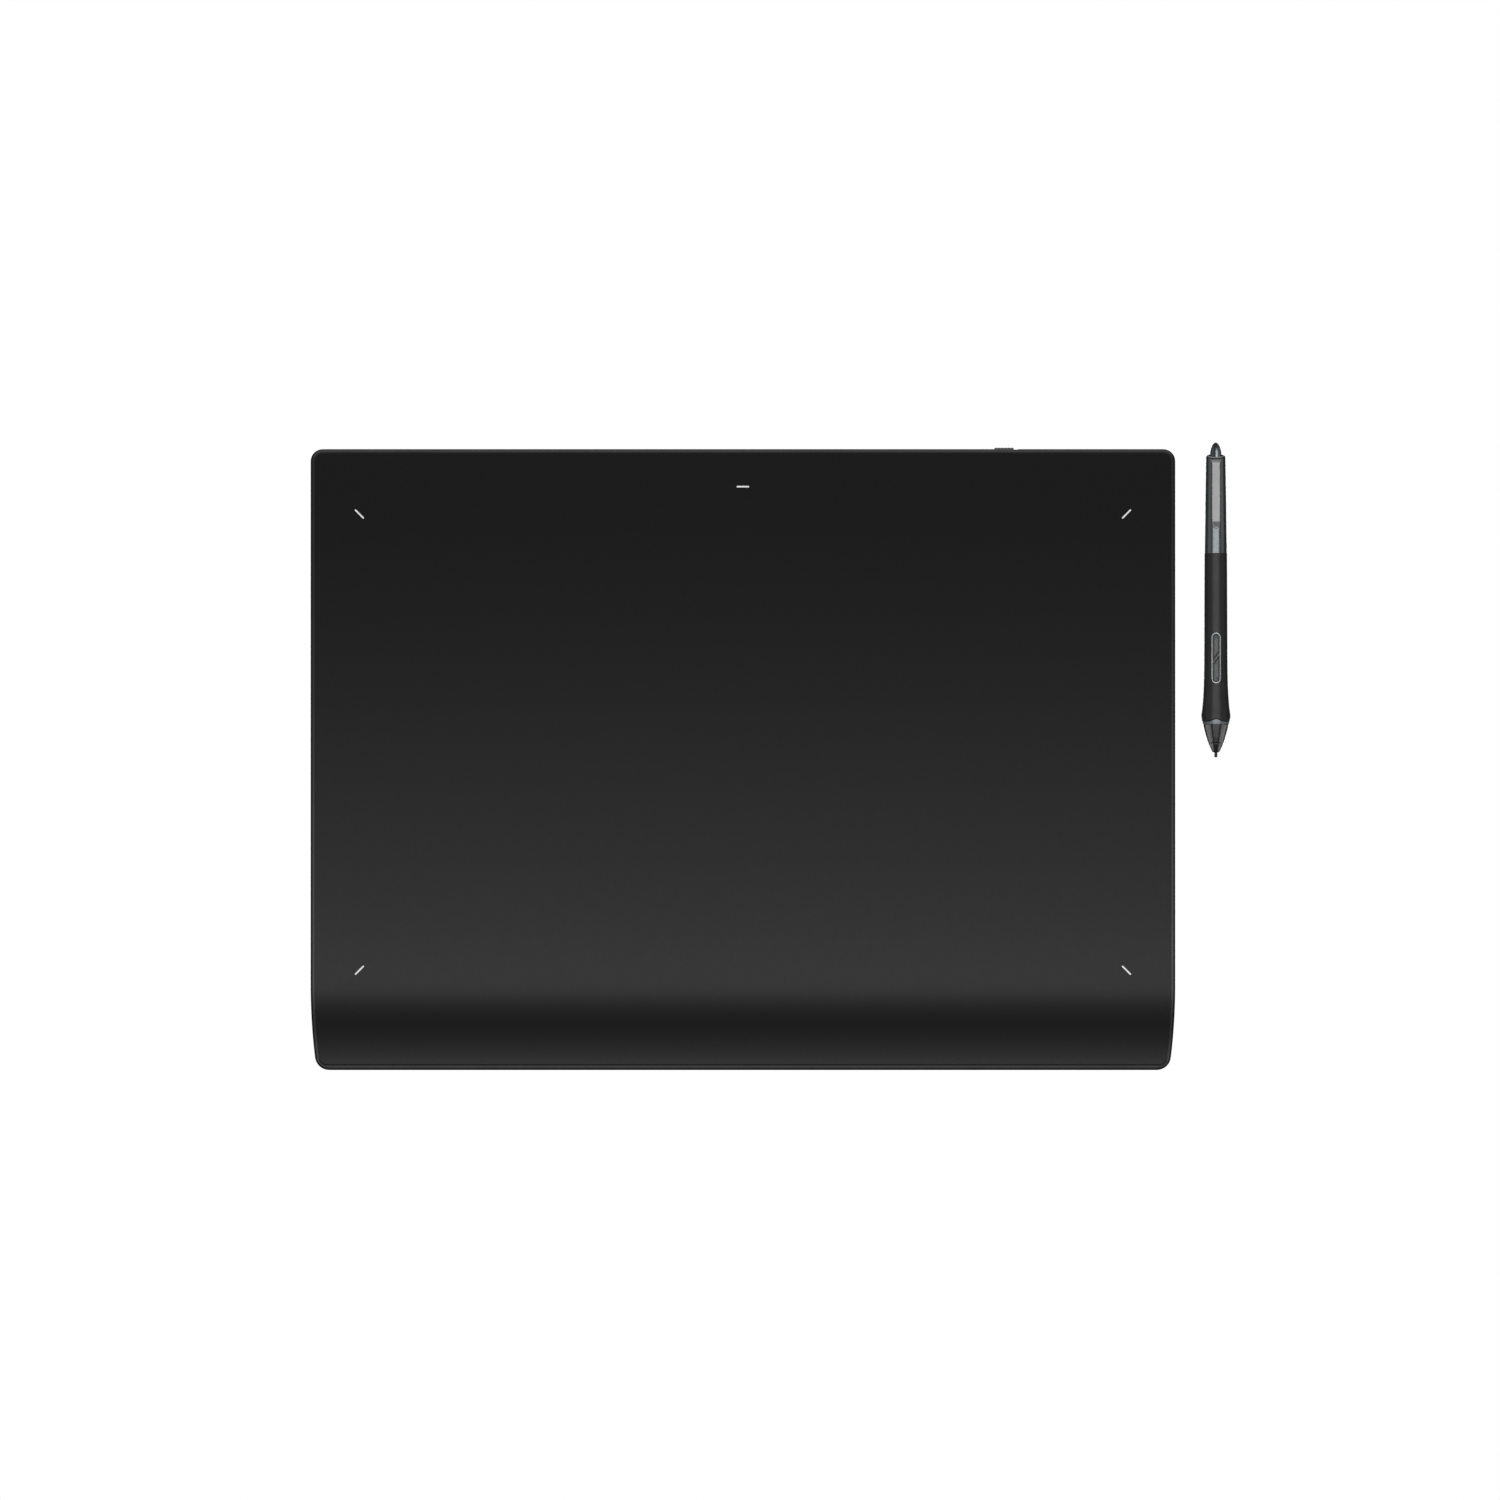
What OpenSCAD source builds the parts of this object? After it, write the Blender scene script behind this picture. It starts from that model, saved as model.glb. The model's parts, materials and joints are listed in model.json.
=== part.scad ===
/* [Tablet] */
// Width of the tablet, side to side
tablet_w = 429.5; // [425:0.5:440]
// Depth of the tablet, front to rear
tablet_d = 308.5; // [307:0.5:312]
// Height of the flat work surface above the desk
tablet_h = 8; // [7.8:0.1:8.6]
// Height of the outermost line of the side and rear walls
edge_h = 7.4; // [7.2:0.1:7.6]
// Height of the outermost line of the front wall
front_edge_h = 2.9; // [2.8:0.1:3.1]
// Lean of the walls, in degrees from upright, narrowing downwards
wall_lean = 33; // [30:1:34]
// Plan radius of the rear corners at their widest
rear_corner_r = 6; // [6:0.5:8]
// Plan radius of the front corners at their widest
front_corner_r = 6.2; // [5.5:0.1:7]
// Visible width of the metal rim round the work surface
rim_w = 2.1; // [1.8:0.1:2.4]
// Visible width of that rim along the front
front_rim_w = 2.7; // [2.4:0.1:3]

/* [Front roll] */
// Distance from the front edge to where the surface starts to roll down
roll_d = 42; // [38:1:44]
// Radius of the roll, seen from the side
roll_r = 200; // [200:5:240]

/* [Layers] */
// Thickness of the work surface panel
panel_t = 1; // [0.8:0.1:1]
// Thickness of the inner frame plate
frame_t = 1.2; // [1:0.1:1.2]
// Thickness of the rear cover's floor
floor_t = 1; // [0.8:0.1:1]
// Height the rubber feet stand out of the rear cover
foot_h = 0.8; // [0.6:0.1:0.8]
// Gap round the work surface panel
panel_gap = 0.12; // [0.08:0.02:0.2]

/* [Active area] */
// Width of the drawing area between the corner marks
active_w = 381; // [376:1:382]
// Depth of the drawing area between the corner marks
active_d = 226.6; // [222:0.2:227]
// How far the drawing area's centre lies behind the tablet's centre
active_y = 8.7; // [8:0.1:9]
// Length of each light mark
mark_l = 6.2; // [5:0.1:7]
// Width of each light mark
mark_w = 0.8; // [0.8:0.1:1.2]
// Distance of the status light behind the tablet's centre
status_y = 135.6; // [135:0.1:137]

/* [Rear edge] */
// Sideways place of the power slider
slider_x = 129.7; // [126:0.1:132]
// Length of the power slider's thumb piece
slider_w = 9.6; // [8:0.1:10]
// How far the power slider travels
slider_travel = 2; // [1.5:0.1:2]
// Sideways place of the USB socket
usb_x = 156.6; // [155:0.1:158]

/* [Pen] */
// Distance from the tablet's centre line to the pen
pen_x = 234.9; // [230:0.5:250]
// Place of the nib's tip, front to rear
pen_y = 1.1; // [-10:0.1:10]
// Free travel of the nib
nib_travel = 0.8; // [0.4:0.1:0.8]
// Free travel of the eraser
eraser_travel = 0.8; // [0.4:0.1:0.8]
// Length of the key window's rim
key_rim_l = 25.6; // [25:0.1:26]
// Width of the key window's rim
key_rim_w = 5.2; // [5:0.1:5.4]
// Distance of the key window's middle from the nib's tip
key_s = 49.3; // [48.5:0.1:50.5]

/* [Hidden] */
$fn = 96;
eps = 0.01;

// The surfaces of the layers are arcs about one axis, so each has its own radius.
roll_y = -tablet_d / 2 + roll_d;
roll_z = tablet_h - roll_r;
panel_r = roll_r - panel_t;
frame_r = panel_r - frame_t;
cover_z = foot_h;
floor_z = cover_z + floor_t;
frame_top = tablet_h - panel_t;
frame_bottom = frame_top - frame_t;

// Plan of the pocket in the rear cover, and of the rows of screws in it.
pocket_x = tablet_w / 2 - 8.25;
pocket_rear = tablet_d / 2 - 7.25;
pocket_front = -tablet_d / 2 + 16.25;
screw_x = tablet_w / 2 - 11.75;
screw_rear = tablet_d / 2 - 11.25;
screw_front = -tablet_d / 2 + 26.25;
frame_margin = 4.25;
front_frame_margin = 5;
boss_r = 2.6;
boss_top = frame_bottom + 0.2;
case_screws_at = [for (x = [-screw_x, -60, 60, screw_x]) [x, screw_rear],
                  for (x = [-screw_x, -70, 70, screw_x]) [x, screw_front],
                  for (x = [-screw_x, screw_x]) [x, active_y]];

// Stack under the inner frame.
board_t = 0.8;
shield_t = 0.2;
sensor_w = active_w + 11;
sensor_d = active_d + 13.4;
sensor_bottom = frame_bottom - board_t;
shield_bottom = sensor_bottom - shield_t;

// Main board along the rear edge.
main_t = 1;
main_z = 3;
main_x0 = usb_x - 71.6;
main_x1 = usb_x + 28.4;
main_y0 = pocket_rear - 16.5;
main_y1 = pocket_rear - 0.5;
main_top = main_z + main_t;
board_screws_at = [[main_x0 + 4, main_y0 + 2.8], [main_x1 - 4, main_y0 + 2.8],
                   [slider_x - 22, main_y1 - 4]];

// Power slider.
slider_z = 4.2;
slider_h = 2.4;
thumb_y = tablet_d / 2 - 0.7;
thumb_top = tablet_h - 0.1;
notch_z = 7.05;
slot_play = 0.15;
niche_y = tablet_d / 2 - 4.65;
flange_t = 0.8;

// USB socket.
usb_w = 8.94;
usb_h = 3.26;
usb_z = main_z + main_t / 2;
usb_y0 = pocket_rear - 3.8;
usb_y1 = tablet_d / 2 - 3.65;

// Feet.
foot_l = 110;
foot_w = 7;
foot_x = 135;
foot_y = tablet_d / 2 - 20.25;
foot_sink = 0.3;

function lean(z) = z * tan(wall_lean);

// ---- plain shapes ----

// A strip with round ends, its length along Y.
module racetrack(l, w) {
    square([w, l - w], center = true);
    for (y = [-1, 1] * (l - w) / 2) translate([0, y]) circle(d = w);
}

module block(x0, x1, y0, y1, z0, z1) {
    translate([x0, y0, z0]) cube([x1 - x0, y1 - y0, z1 - z0]);
}

module post(p, r, z0, z1) {
    translate([p[0], p[1], z0]) cylinder(r = r, h = z1 - z0);
}

module strip(p, turn, l, w, z0, z1) {
    translate([p[0], p[1], z0]) rotate(turn) linear_extrude(z1 - z0) racetrack(l, w);
}

// ---- leaning walls and the rolled surface ----

// A slab whose walls lean outwards as they rise. The plan sizes are those at desk level.
module leaning_slab(side, rear, front, r_rear, r_front, z0, z1, dir = 1) {
    function r_at(r, z) = r + dir * lean(z);
    module wall(reach, r) {
        polygon([[0, z0], [r_at(reach, z0), z0], [r_at(reach, z1), z1], [0, z1]]);
    }
    module corner(r) {
        rotate_extrude(angle = 90) wall(r, r);
    }
    rear_c = rear - r_rear;
    front_c = front - r_front;
    for (s = [0, 1]) mirror([s, 0, 0]) {
        translate([0, rear_c, 0]) rotate([90, 0, 0])
            linear_extrude(rear_c + front_c) wall(side, 0);
        rotate([90, 0, 90]) linear_extrude(side - r_rear)
            translate([rear_c, 0]) wall(r_rear, 0);
        rotate([90, 0, 90]) linear_extrude(side - r_front)
            mirror([1, 0]) translate([front_c, 0]) wall(r_front, 0);
        translate([side - r_rear, rear_c, 0]) corner(r_rear);
        translate([side - r_front, -front_c, 0]) rotate(-90) corner(r_front);
    }
}

// Everything under the surface that lies r from the axis of the front roll.
module under_surface(r) {
    rotate([90, 0, 90]) translate([0, 0, -tablet_w / 2 - 5]) linear_extrude(tablet_w + 10) {
        translate([roll_y, -5]) square([tablet_d, roll_z + r + 5]);
        intersection() {
            translate([roll_y, roll_z]) circle(r, $fn = 256);
            translate([roll_y - roll_d - 10, -5]) square([roll_d + 10, 20]);
        }
    }
}

// Everything behind the small slope that runs up from the front wall's outermost line.
module behind_front_edge() {
    rise = tablet_h - front_edge_h;
    front = -tablet_d / 2;
    rotate([90, 0, 90]) translate([0, 0, -tablet_w / 2 - 5]) linear_extrude(tablet_w + 10)
        polygon([[front, -1], [front, front_edge_h], [front + lean(rise), tablet_h],
                 [front + lean(rise), tablet_h + 1], [tablet_d, tablet_h + 1], [tablet_d, -1]]);
}

// Height under which the panel and its seat never reach.
panel_low = 2.5;

// Plan of the work surface, drawn in by the rim's width from the widest outline.
module panel_slab(grow, z0, z1) {
    panel_front_top = roll_z + sqrt(pow(roll_r, 2) - pow(roll_d - front_rim_w, 2));
    rear_r = max(rear_corner_r - rim_w - lean(tablet_h), 0.2 - lean(panel_low));
    leaning_slab(tablet_w / 2 - rim_w - lean(tablet_h) + grow,
                 tablet_d / 2 - rim_w - lean(tablet_h) + grow,
                 tablet_d / 2 - front_rim_w - lean(panel_front_top) + grow,
                 rear_r + grow, 2 + grow, z0, z1);
}

// Upright block with cut corners, on the plan of the inner frame.
module frame_slab(grow, z0, z1) {
    side = tablet_w / 2 - frame_margin + grow;
    rear = tablet_d / 2 - frame_margin + grow;
    front = tablet_d / 2 - front_frame_margin + grow;
    cut = 1.5;
    translate([0, 0, z0]) linear_extrude(z1 - z0)
        polygon([[side, rear - cut], [side - cut, rear], [cut - side, rear], [-side, rear - cut],
                 [-side, cut - front], [cut - side, -front], [side - cut, -front],
                 [side, cut - front]]);
}

// ---- light marks ----

corner_marks = [for (sx = [-1, 1], sy = [-1, 1])
    [sx * active_w / 2, active_y + sy * active_d / 2, sx * sy > 0 ? -45 : 45]];
status_mark = [0, status_y, 90];

mark_play = 0.15;

module light_guide(m, z0) {
    flange_l = mark_l + 2;
    flange_w = mark_w + 2;
    strip(m, m[2], mark_l, mark_w, z0, tablet_h);
    strip(m, m[2], flange_l, flange_w, z0, frame_top);
}

module light_guide_hole(m, play) {
    strip(m, m[2], mark_l + 2 * play, mark_w + 2 * play, 0, tablet_h + 1);
}

// ---- tablet shells ----

module work_surface() {
    color([0.12, 0.12, 0.125]) difference() {
        intersection() {
            panel_slab(0, panel_low, tablet_h);
            under_surface(roll_r);
        }
        under_surface(panel_r);
        for (m = concat(corner_marks, [status_mark])) light_guide_hole(m, mark_play);
    }
}

module inner_frame() {
    led_posts = [[-7.5, status_y], [7.5, status_y]];
    color([0.2, 0.2, 0.21]) difference() {
        union() {
            difference() {
                intersection() {
                    frame_slab(0, 0.6, frame_top);
                    under_surface(panel_r);
                }
                under_surface(frame_r);
            }
            for (p = case_screws_at) post(p, boss_r, floor_z, boss_top);
            for (p = led_posts) post(p, 0.8, frame_bottom - 1.5, boss_top);
        }
        for (p = case_screws_at) post(p, 1, floor_z - 1, boss_top - 0.4);
        for (m = concat(corner_marks, [status_mark]))
            strip(m, m[2], mark_l + 2.2, mark_w + 2.2, 4, tablet_h);
    }
}

module rear_cover_blank() {
    rear_r0 = rear_corner_r - lean(edge_h);
    front_r0 = front_corner_r - lean(front_edge_h);
    top_r = rear_corner_r + lean(edge_h);
    intersection() {
        union() {
            leaning_slab(tablet_w / 2 - lean(edge_h), tablet_d / 2 - lean(edge_h),
                         tablet_d / 2 - lean(front_edge_h), rear_r0, front_r0,
                         cover_z, edge_h);
            leaning_slab(tablet_w / 2 + lean(edge_h), tablet_d / 2 + lean(edge_h),
                         tablet_d / 2, top_r, top_r, edge_h, tablet_h, -1);
        }
        under_surface(roll_r);
        behind_front_edge();
    }
}

module usb_section(l, h) {
    rotate(90) racetrack(l, h);
}

module usb_prism(l, h, y0, y1) {
    translate([usb_x, y1, usb_z]) rotate([90, 0, 0]) linear_extrude(y1 - y0)
        usb_section(l, h);
}

module foot_plan(p, l, w, z0, z1) {
    strip(p, 90, l, w, z0, z1);
}

rear_feet_at = [[-foot_x, foot_y], [foot_x, foot_y]];
front_feet_at = [[-foot_x, -foot_y], [foot_x, -foot_y]];

module rear_cover() {
    color([0.11, 0.11, 0.115]) difference() {
        union() {
            difference() {
                rear_cover_blank();
                difference() {
                    panel_slab(panel_gap, panel_low, tablet_h + 1);
                    under_surface(panel_r);
                }
                difference() {
                    frame_slab(0.05, 0.6, tablet_h + 1);
                    under_surface(frame_r);
                }
                block(-pocket_x, pocket_x, pocket_front, pocket_rear, floor_z, tablet_h);
                block(slider_x - 8.5, slider_x + slider_travel + 8.5, pocket_rear - 1,
                      niche_y, floor_z, frame_bottom);
            }
            for (p = board_screws_at) post(p, 2.2, floor_z - eps, main_z);
        }
        // screw holes in the floor, countersunk from below
        for (p = case_screws_at) {
            post(p, 1.1, 0, floor_z + 1);
            translate([p[0], p[1], cover_z - eps])
                cylinder(r1 = 2, r2 = 1.1, h = 0.9);
        }
        for (p = board_screws_at) post(p, 0.9, floor_z - 0.4, main_z + 1);
        // openings in the rear wall
        block(slider_x - slider_w / 2 - slot_play,
              slider_x + slider_w / 2 + slider_travel + slot_play,
              niche_y - 1, tablet_d / 2 + 5,
              slider_z - slider_h / 2 - slot_play, slider_z + slider_h / 2 + slot_play);
        // notch in the wall's upper edge, for the slider's thumb piece
        block(slider_x - slider_w / 2 - slot_play,
              slider_x + slider_w / 2 + slider_travel + slot_play,
              thumb_y, tablet_d / 2 + 5, notch_z, tablet_h + 1);
        usb_prism(usb_w + 0.5, usb_h + 0.5, pocket_rear - 1, tablet_d / 2 + 5);
        // seats of the feet
        for (p = concat(rear_feet_at, front_feet_at, [[0, 0]]))
            foot_plan(p, foot_l + 0.3, foot_w + 0.3, 0, cover_z + foot_sink);
    }
}

// ---- tablet insides ----

module status_light_guide() {
    color([0.93, 0.95, 0.97]) light_guide(status_mark, frame_bottom);
}

module corner_light_guides() {
    color([0.93, 0.95, 0.97]) for (m = corner_marks) light_guide(m, frame_bottom + 0.6);
}

module status_led_board() {
    z1 = frame_bottom - 0.55;
    color([0.1, 0.35, 0.2]) difference() {
        union() {
            block(-10, 10, status_y - 3, status_y + 3, z1 - board_t, z1);
            block(-2, 2, status_y - 0.6, status_y + 0.6, z1 - eps, z1 + 0.45);
        }
        for (x = [-7.5, 7.5]) post([x, status_y], 0.9, z1 - 2, z1 + 1);
    }
}

module corner_leds() {
    color([0.95, 0.93, 0.8]) for (m = corner_marks)
        translate([m[0], m[1], frame_bottom]) rotate(m[2])
            translate([-0.6, -1.5, 0]) cube([1.2, 3, 0.5]);
}

module sensor_board() {
    color([0.08, 0.3, 0.2])
        block(-sensor_w / 2, sensor_w / 2, active_y - sensor_d / 2, active_y + sensor_d / 2,
              sensor_bottom, frame_bottom);
}

module shield_plate() {
    edge = 2;
    color([0.75, 0.75, 0.77])
        block(-sensor_w / 2 + edge, sensor_w / 2 - edge,
              active_y - sensor_d / 2 + edge, active_y + sensor_d / 2 - edge,
              shield_bottom, sensor_bottom);
}

battery_x = -95;
battery_y = 75;
battery_w = 96;
battery_d = 62;
battery_t = 2.6;

module support_pads() {
    color([0.25, 0.25, 0.27])
        for (x = [-150, 0, 150], y = [-85, -10])
            block(x - 40, x + 40, y - 9, y + 9, floor_z, shield_bottom);
}

module main_board() {
    color([0.07, 0.32, 0.2]) difference() {
        block(main_x0, main_x1, main_y0, main_y1, main_z, main_top);
        block(usb_x - usb_w / 2 - 0.1, usb_x + usb_w / 2 + 0.1, usb_y0 - 0.1, main_y1 + 1,
              0, tablet_h);
        for (p = board_screws_at) post(p, 1.1, 0, tablet_h);
    }
}

module board_chips() {
    // processor, radio, charger, memory, battery socket and ribbon socket
    chips = [[28, 6, 7, 7, 0.9], [44, 5, 6, 6, 0.8], [86, 5, 4, 4, 0.8],
             [60, 5, 5, 4, 0.8], [14, 6, 6, 5, 1.4], [72, 4, 16, 3.2, 1.2]];
    color([0.06, 0.06, 0.07]) for (c = chips)
        translate([main_x0 + c[0] - c[2] / 2, main_y0 + c[1] - c[3] / 2, main_top])
            cube([c[2], c[3], c[4]]);
}

module bluetooth_antenna() {
    color([0.85, 0.65, 0.3]) block(main_x1 + 3, main_x1 + 15, main_y0 + 4, main_y0 + 11,
                                   frame_bottom - 0.3, frame_bottom);
}

// Flat cable that steps down from the sensor board's rear edge to its socket.
module sensor_ribbon() {
    x = main_x0 + 72;
    y0 = active_y + sensor_d / 2 - 3;
    y1 = main_y0 + 2.2;
    t = 0.2;
    color([0.85, 0.85, 0.82]) translate([x - 7, 0, 0]) rotate([90, 0, 90])
        linear_extrude(14) {
            translate([y0, shield_bottom - t]) square([4.4, t]);
            translate([y0 + 4.4 - t, main_top + 0.6]) square([t, shield_bottom - main_top - 0.6]);
            translate([y0 + 4.4 - t, main_top + 0.6 - t]) square([y1 - y0 - 4.4 + t, t]);
        }
}

module battery() {
    color([0.75, 0.76, 0.78])
        block(battery_x - battery_w / 2, battery_x + battery_w / 2,
              battery_y - battery_d / 2, battery_y + battery_d / 2,
              floor_z, floor_z + battery_t);
}

// Twin wire from the battery's edge to its socket on the main board.
module battery_lead() {
    wire_r = 0.6;
    x0 = battery_x + battery_w / 2;
    x1 = main_x0 + 10.3;
    y1 = main_y0 + 6.3;
    z = floor_z + 1;
    up = main_top + 0.7;
    riser_x = main_x0 - 4;
    for (i = [0, 1]) color(i == 0 ? [0.7, 0.08, 0.08] : [0.08, 0.08, 0.08]) {
        y0 = battery_y + 10 + i * 3;
        yy = y1 + i * 1.3 - 0.65;
        wire_run([x0 + wire_r, y0, z], [x0 + 14 - 3 * i, y0, z], wire_r);
        wire_run([x0 + 14 - 3 * i, y0, z], [x0 + 14 - 3 * i, yy, z], wire_r);
        wire_run([x0 + 14 - 3 * i, yy, z], [riser_x, yy, z], wire_r);
        wire_run([riser_x, yy, z], [riser_x, yy, up], wire_r);
        wire_run([riser_x, yy, up], [x1, yy, up], wire_r);
    }
}

module wire_run(a, b, r) {
    d = b - a;
    turn = abs(d[0]) > 0 ? [0, 90 * sign(d[0]), 0]
         : abs(d[1]) > 0 ? [-90 * sign(d[1]), 0, 0] : [0, 0, 0];
    translate(a) {
        rotate(turn) cylinder(r = r, h = norm(d), $fn = 24);
        sphere(r = r, $fn = 24);
    }
}

module usb_c_shell() {
    wall = 0.3;
    color([0.8, 0.8, 0.82]) difference() {
        usb_prism(usb_w, usb_h, usb_y0, usb_y1);
        usb_prism(usb_w - 2 * wall, usb_h - 2 * wall, usb_y0 + wall, usb_y1 + 1);
    }
}

module usb_c_tongue() {
    color([0.06, 0.06, 0.06]) {
        usb_prism(usb_w - 0.6, usb_h - 0.6, usb_y0 + 0.3, usb_y0 + 1.9);
        block(usb_x - 3.35, usb_x + 3.35, usb_y0 + 1.8, usb_y1 - 0.7,
              usb_z - 0.35, usb_z + 0.35);
    }
}

module power_slider() {
    grooves = 5;
    pitch = slider_w / (grooves + 1);
    stand = tablet_d / 2 + 0.7;
    corner = 0.4;
    // A block as long as the thumb piece, with the two outer corners cut off.
    module thumb(y0, z0, z1) {
        half = slider_w / 2;
        translate([slider_x, 0, z0]) linear_extrude(z1 - z0)
            polygon([[-half, y0], [half, y0], [half, stand - corner],
                     [half - corner, stand], [corner - half, stand],
                     [-half, stand - corner]]);
    }
    color([0.14, 0.14, 0.145]) difference() {
        union() {
            thumb(niche_y - 0.1, slider_z - slider_h / 2, slider_z + slider_h / 2);
            thumb(tablet_d / 2 + slot_play, slider_z - slider_h / 2, thumb_top);
            // lip over the wall's edge
            thumb(thumb_y + slot_play, notch_z + slot_play, thumb_top);
            block(slider_x - slider_w / 2 - 2.3, slider_x + slider_w / 2 + 2.3,
                  niche_y - 0.1 - flange_t, niche_y - 0.1,
                  slider_z - 1.7, frame_bottom - 0.1);
            // fork round the switch's stub
            for (s = [-1, 1]) translate([slider_x + s * 1.05, 0, 0])
                block(-0.4, 0.4, niche_y - 3.9, niche_y - 0.1 - flange_t + eps,
                      main_top + 0.2, main_top + 1.4);
        }
        for (i = [1 : grooves])
            translate([slider_x - slider_w / 2 + i * pitch, stand + 0.33, 0])
                cylinder(r = 0.5, h = tablet_h, $fn = 24);
    }
}

switch_y = niche_y - 5.6;
switch_h = 1.6;

module slide_switch() {
    color([0.7, 0.7, 0.72]) difference() {
        block(slider_x - 3, slider_x + slider_travel + 3, switch_y - 3.2, switch_y,
              main_top, main_top + switch_h);
        block(slider_x - 0.7, slider_x + slider_travel + 0.7, switch_y - 1.2, switch_y + 1,
              main_top + 0.25, main_top + 1.35);
    }
}

module switch_stub() {
    color([0.9, 0.9, 0.88])
        block(slider_x - 0.6, slider_x + 0.6, switch_y - 1.1, niche_y - 2,
              main_top + 0.3, main_top + 1.3);
}

module foot_group(places) {
    color([0.05, 0.05, 0.05]) for (p = places)
        foot_plan(p, foot_l, foot_w, 0, cover_z + foot_sink);
}

module front_feet() { foot_group(front_feet_at); }
module rear_feet() { foot_group(rear_feet_at); }
module centre_foot() { foot_group([[0, 0]]); }

module case_screws() {
    color([0.15, 0.15, 0.16]) for (p = case_screws_at) difference() {
        union() {
            translate([p[0], p[1], cover_z]) cylinder(r1 = 1.9, r2 = 1, h = 0.85);
            post(p, 1, cover_z + 0.8, cover_z + 4);
        }
        for (a = [0, 90]) translate([p[0], p[1], cover_z]) rotate(a)
            cube([1.9, 0.45, 0.9], center = true);
    }
}

module board_screws() {
    color([0.75, 0.75, 0.77]) for (p = board_screws_at) difference() {
        union() {
            post(p, 0.9, floor_z - 0.3, main_top + 0.1);
            post(p, 1.8, main_top, main_top + 0.9);
        }
        for (a = [0, 90]) translate([p[0], p[1], main_top + 0.9]) rotate(a)
            cube([1.8, 0.45, 0.9], center = true);
    }
}

// ---- pen: places run along Y from the nib's tip, and the keys face +Z ----

// [distance from the tip, radius] down the outside of each length of the pen
nose_tip_line = [[2.44, 0.95], [2.5, 1.45], [2.85, 1.8], [3.8, 2.33], [4.8, 2.75],
                 [5.8, 3.2], [7.1, 3.7]];
nose_line = [[7.1, 3.85], [8.75, 4.3], [9.75, 4.62], [11.7, 5.2], [13.7, 5.73],
             [15.7, 6.2], [16.45, 6.38]];
grip_line = [[16.45, 6.42], [17.7, 6.73], [19.7, 7.16], [20.5, 7.25], [21.3, 7.2],
             [22.7, 6.98], [26.6, 6.58], [30.6, 6.26], [34.6, 6.05], [38.6, 5.93],
             [44, 5.83], [52, 5.77], [70, 5.72], [101.4, 5.6]];
upper_line = [[101.4, 5.54], [113, 5.36], [128, 5.17], [143, 4.95], [149.5, 4.85],
              [150.6, 4.75], [151.5, 4.35]];
eraser_line = [[146.9, 2.92], [150, 2.86], [151.5, 2.78], [152.5, 2.6], [153.5, 2.33],
    [154.5, 1.98], [155, 1.75], [155.5, 1.44], [156, 1], [156.3, 0.62], [156.45, 0.3],
    [156.5, 0]];
ring_end = 17.7;
grip_start = ring_end;
seam_s = 101.4;
tail_s = 151.5;
grip_bore = 4.4;
nib_r = 0.8;

// The pen rests on its widest line and on its tail, so its axis leans.
rest_front = [20.5, 7.25];
rest_rear = [149.5, 4.85];
pen_tilt = atan((rest_front[1] - rest_rear[1]) / (rest_rear[0] - rest_front[0]));
pen_z = rest_front[1] * cos(pen_tilt) + rest_front[0] * sin(pen_tilt) + 0.02;

module on_desk() {
    translate([pen_x, pen_y, pen_z]) rotate([-pen_tilt, 0, 0]) children();
}

// Turns a list of [radius, distance] points about the pen's axis.
module turned(points) {
    rotate([-90, 0, 0]) rotate_extrude() polygon(points);
}

function flipped(line) = [for (p = line) [p[1], p[0]]];

module rod(r, s0, s1) {
    translate([0, s0, 0]) rotate([-90, 0, 0]) cylinder(r = r, h = s1 - s0);
}

module tube(r_out, r_in, s0, s1) {
    difference() {
        rod(r_out, s0, s1);
        rod(r_in, s0 - 1, s1 + 1);
    }
}

// The grip's outside, grown by a margin, as a solid.
module grip_skin(grow, s0, s1) {
    inner = [for (p = grip_line) if (p[0] > s0 && p[0] < s1) [p[1] + grow, p[0]]];
    turned(concat([[0, s0], [lookup(s0, grip_line) + grow, s0]], inner,
                  [[lookup(s1, grip_line) + grow, s1], [0, s1]]));
}

// A racetrack prism that rises from the pen's axis.
module key_prism(l, w, z0, z1) {
    translate([0, key_s, z0]) linear_extrude(z1 - z0) racetrack(l, w);
}

arch_r = 5.14;
arch_top = 18.9;

module arch_column(grow) {
    translate([0, arch_top - arch_r, 0]) cylinder(r = arch_r + grow, h = 10);
}

module pen_nib() {
    color([0.05, 0.05, 0.05]) on_desk() turned([[0, 0], [0.35, 0.08], [0.62, 0.3],
        [nib_r, 0.75], [nib_r, 25.5], [0, 25.5]]);
}

module nib_holder() {
    color([0.8, 0.8, 0.78]) on_desk()
        turned([[nib_r, 24.2], [1.7, 24.2], [1.7, 28], [0, 28], [0, 25.5], [nib_r, 25.5]]);
}

module nose_tip() {
    color([0.07, 0.07, 0.07]) on_desk()
        turned(concat(flipped(nose_tip_line), [[2.9, 7.1], [2.9, 9], [0.95, 9]]));
}

module nose_cone() {
    color([0.16, 0.16, 0.165]) on_desk()
        turned(concat(flipped(nose_line),
                      [[5.2, 16.45], [5.2, 21], [3.2, 21], [3.2, 9.05], [2.92, 9.05],
                       [2.92, 7.1]]));
}

module accent_ring() {
    color([0.42, 0.45, 0.47]) on_desk() {
        difference() {
            grip_skin(0, 16.45, ring_end);
            rod(5.22, 15, 20);
        }
        difference() {
            intersection() {
                grip_skin(0, ring_end, arch_top + 0.1);
                arch_column(0);
            }
            rod(5.5, 15, 22);
        }
    }
}

module grip_barrel() {
    color([0.13, 0.13, 0.13]) on_desk() difference() {
        grip_skin(0, grip_start, seam_s);
        rod(5.24, grip_start - 1, 21.05);
        rod(grip_bore, 21, seam_s + 1);
        arch_column(0.02);
        key_prism(key_rim_l + 0.06, key_rim_w + 0.06, 0, 10);
    }
}

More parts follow.
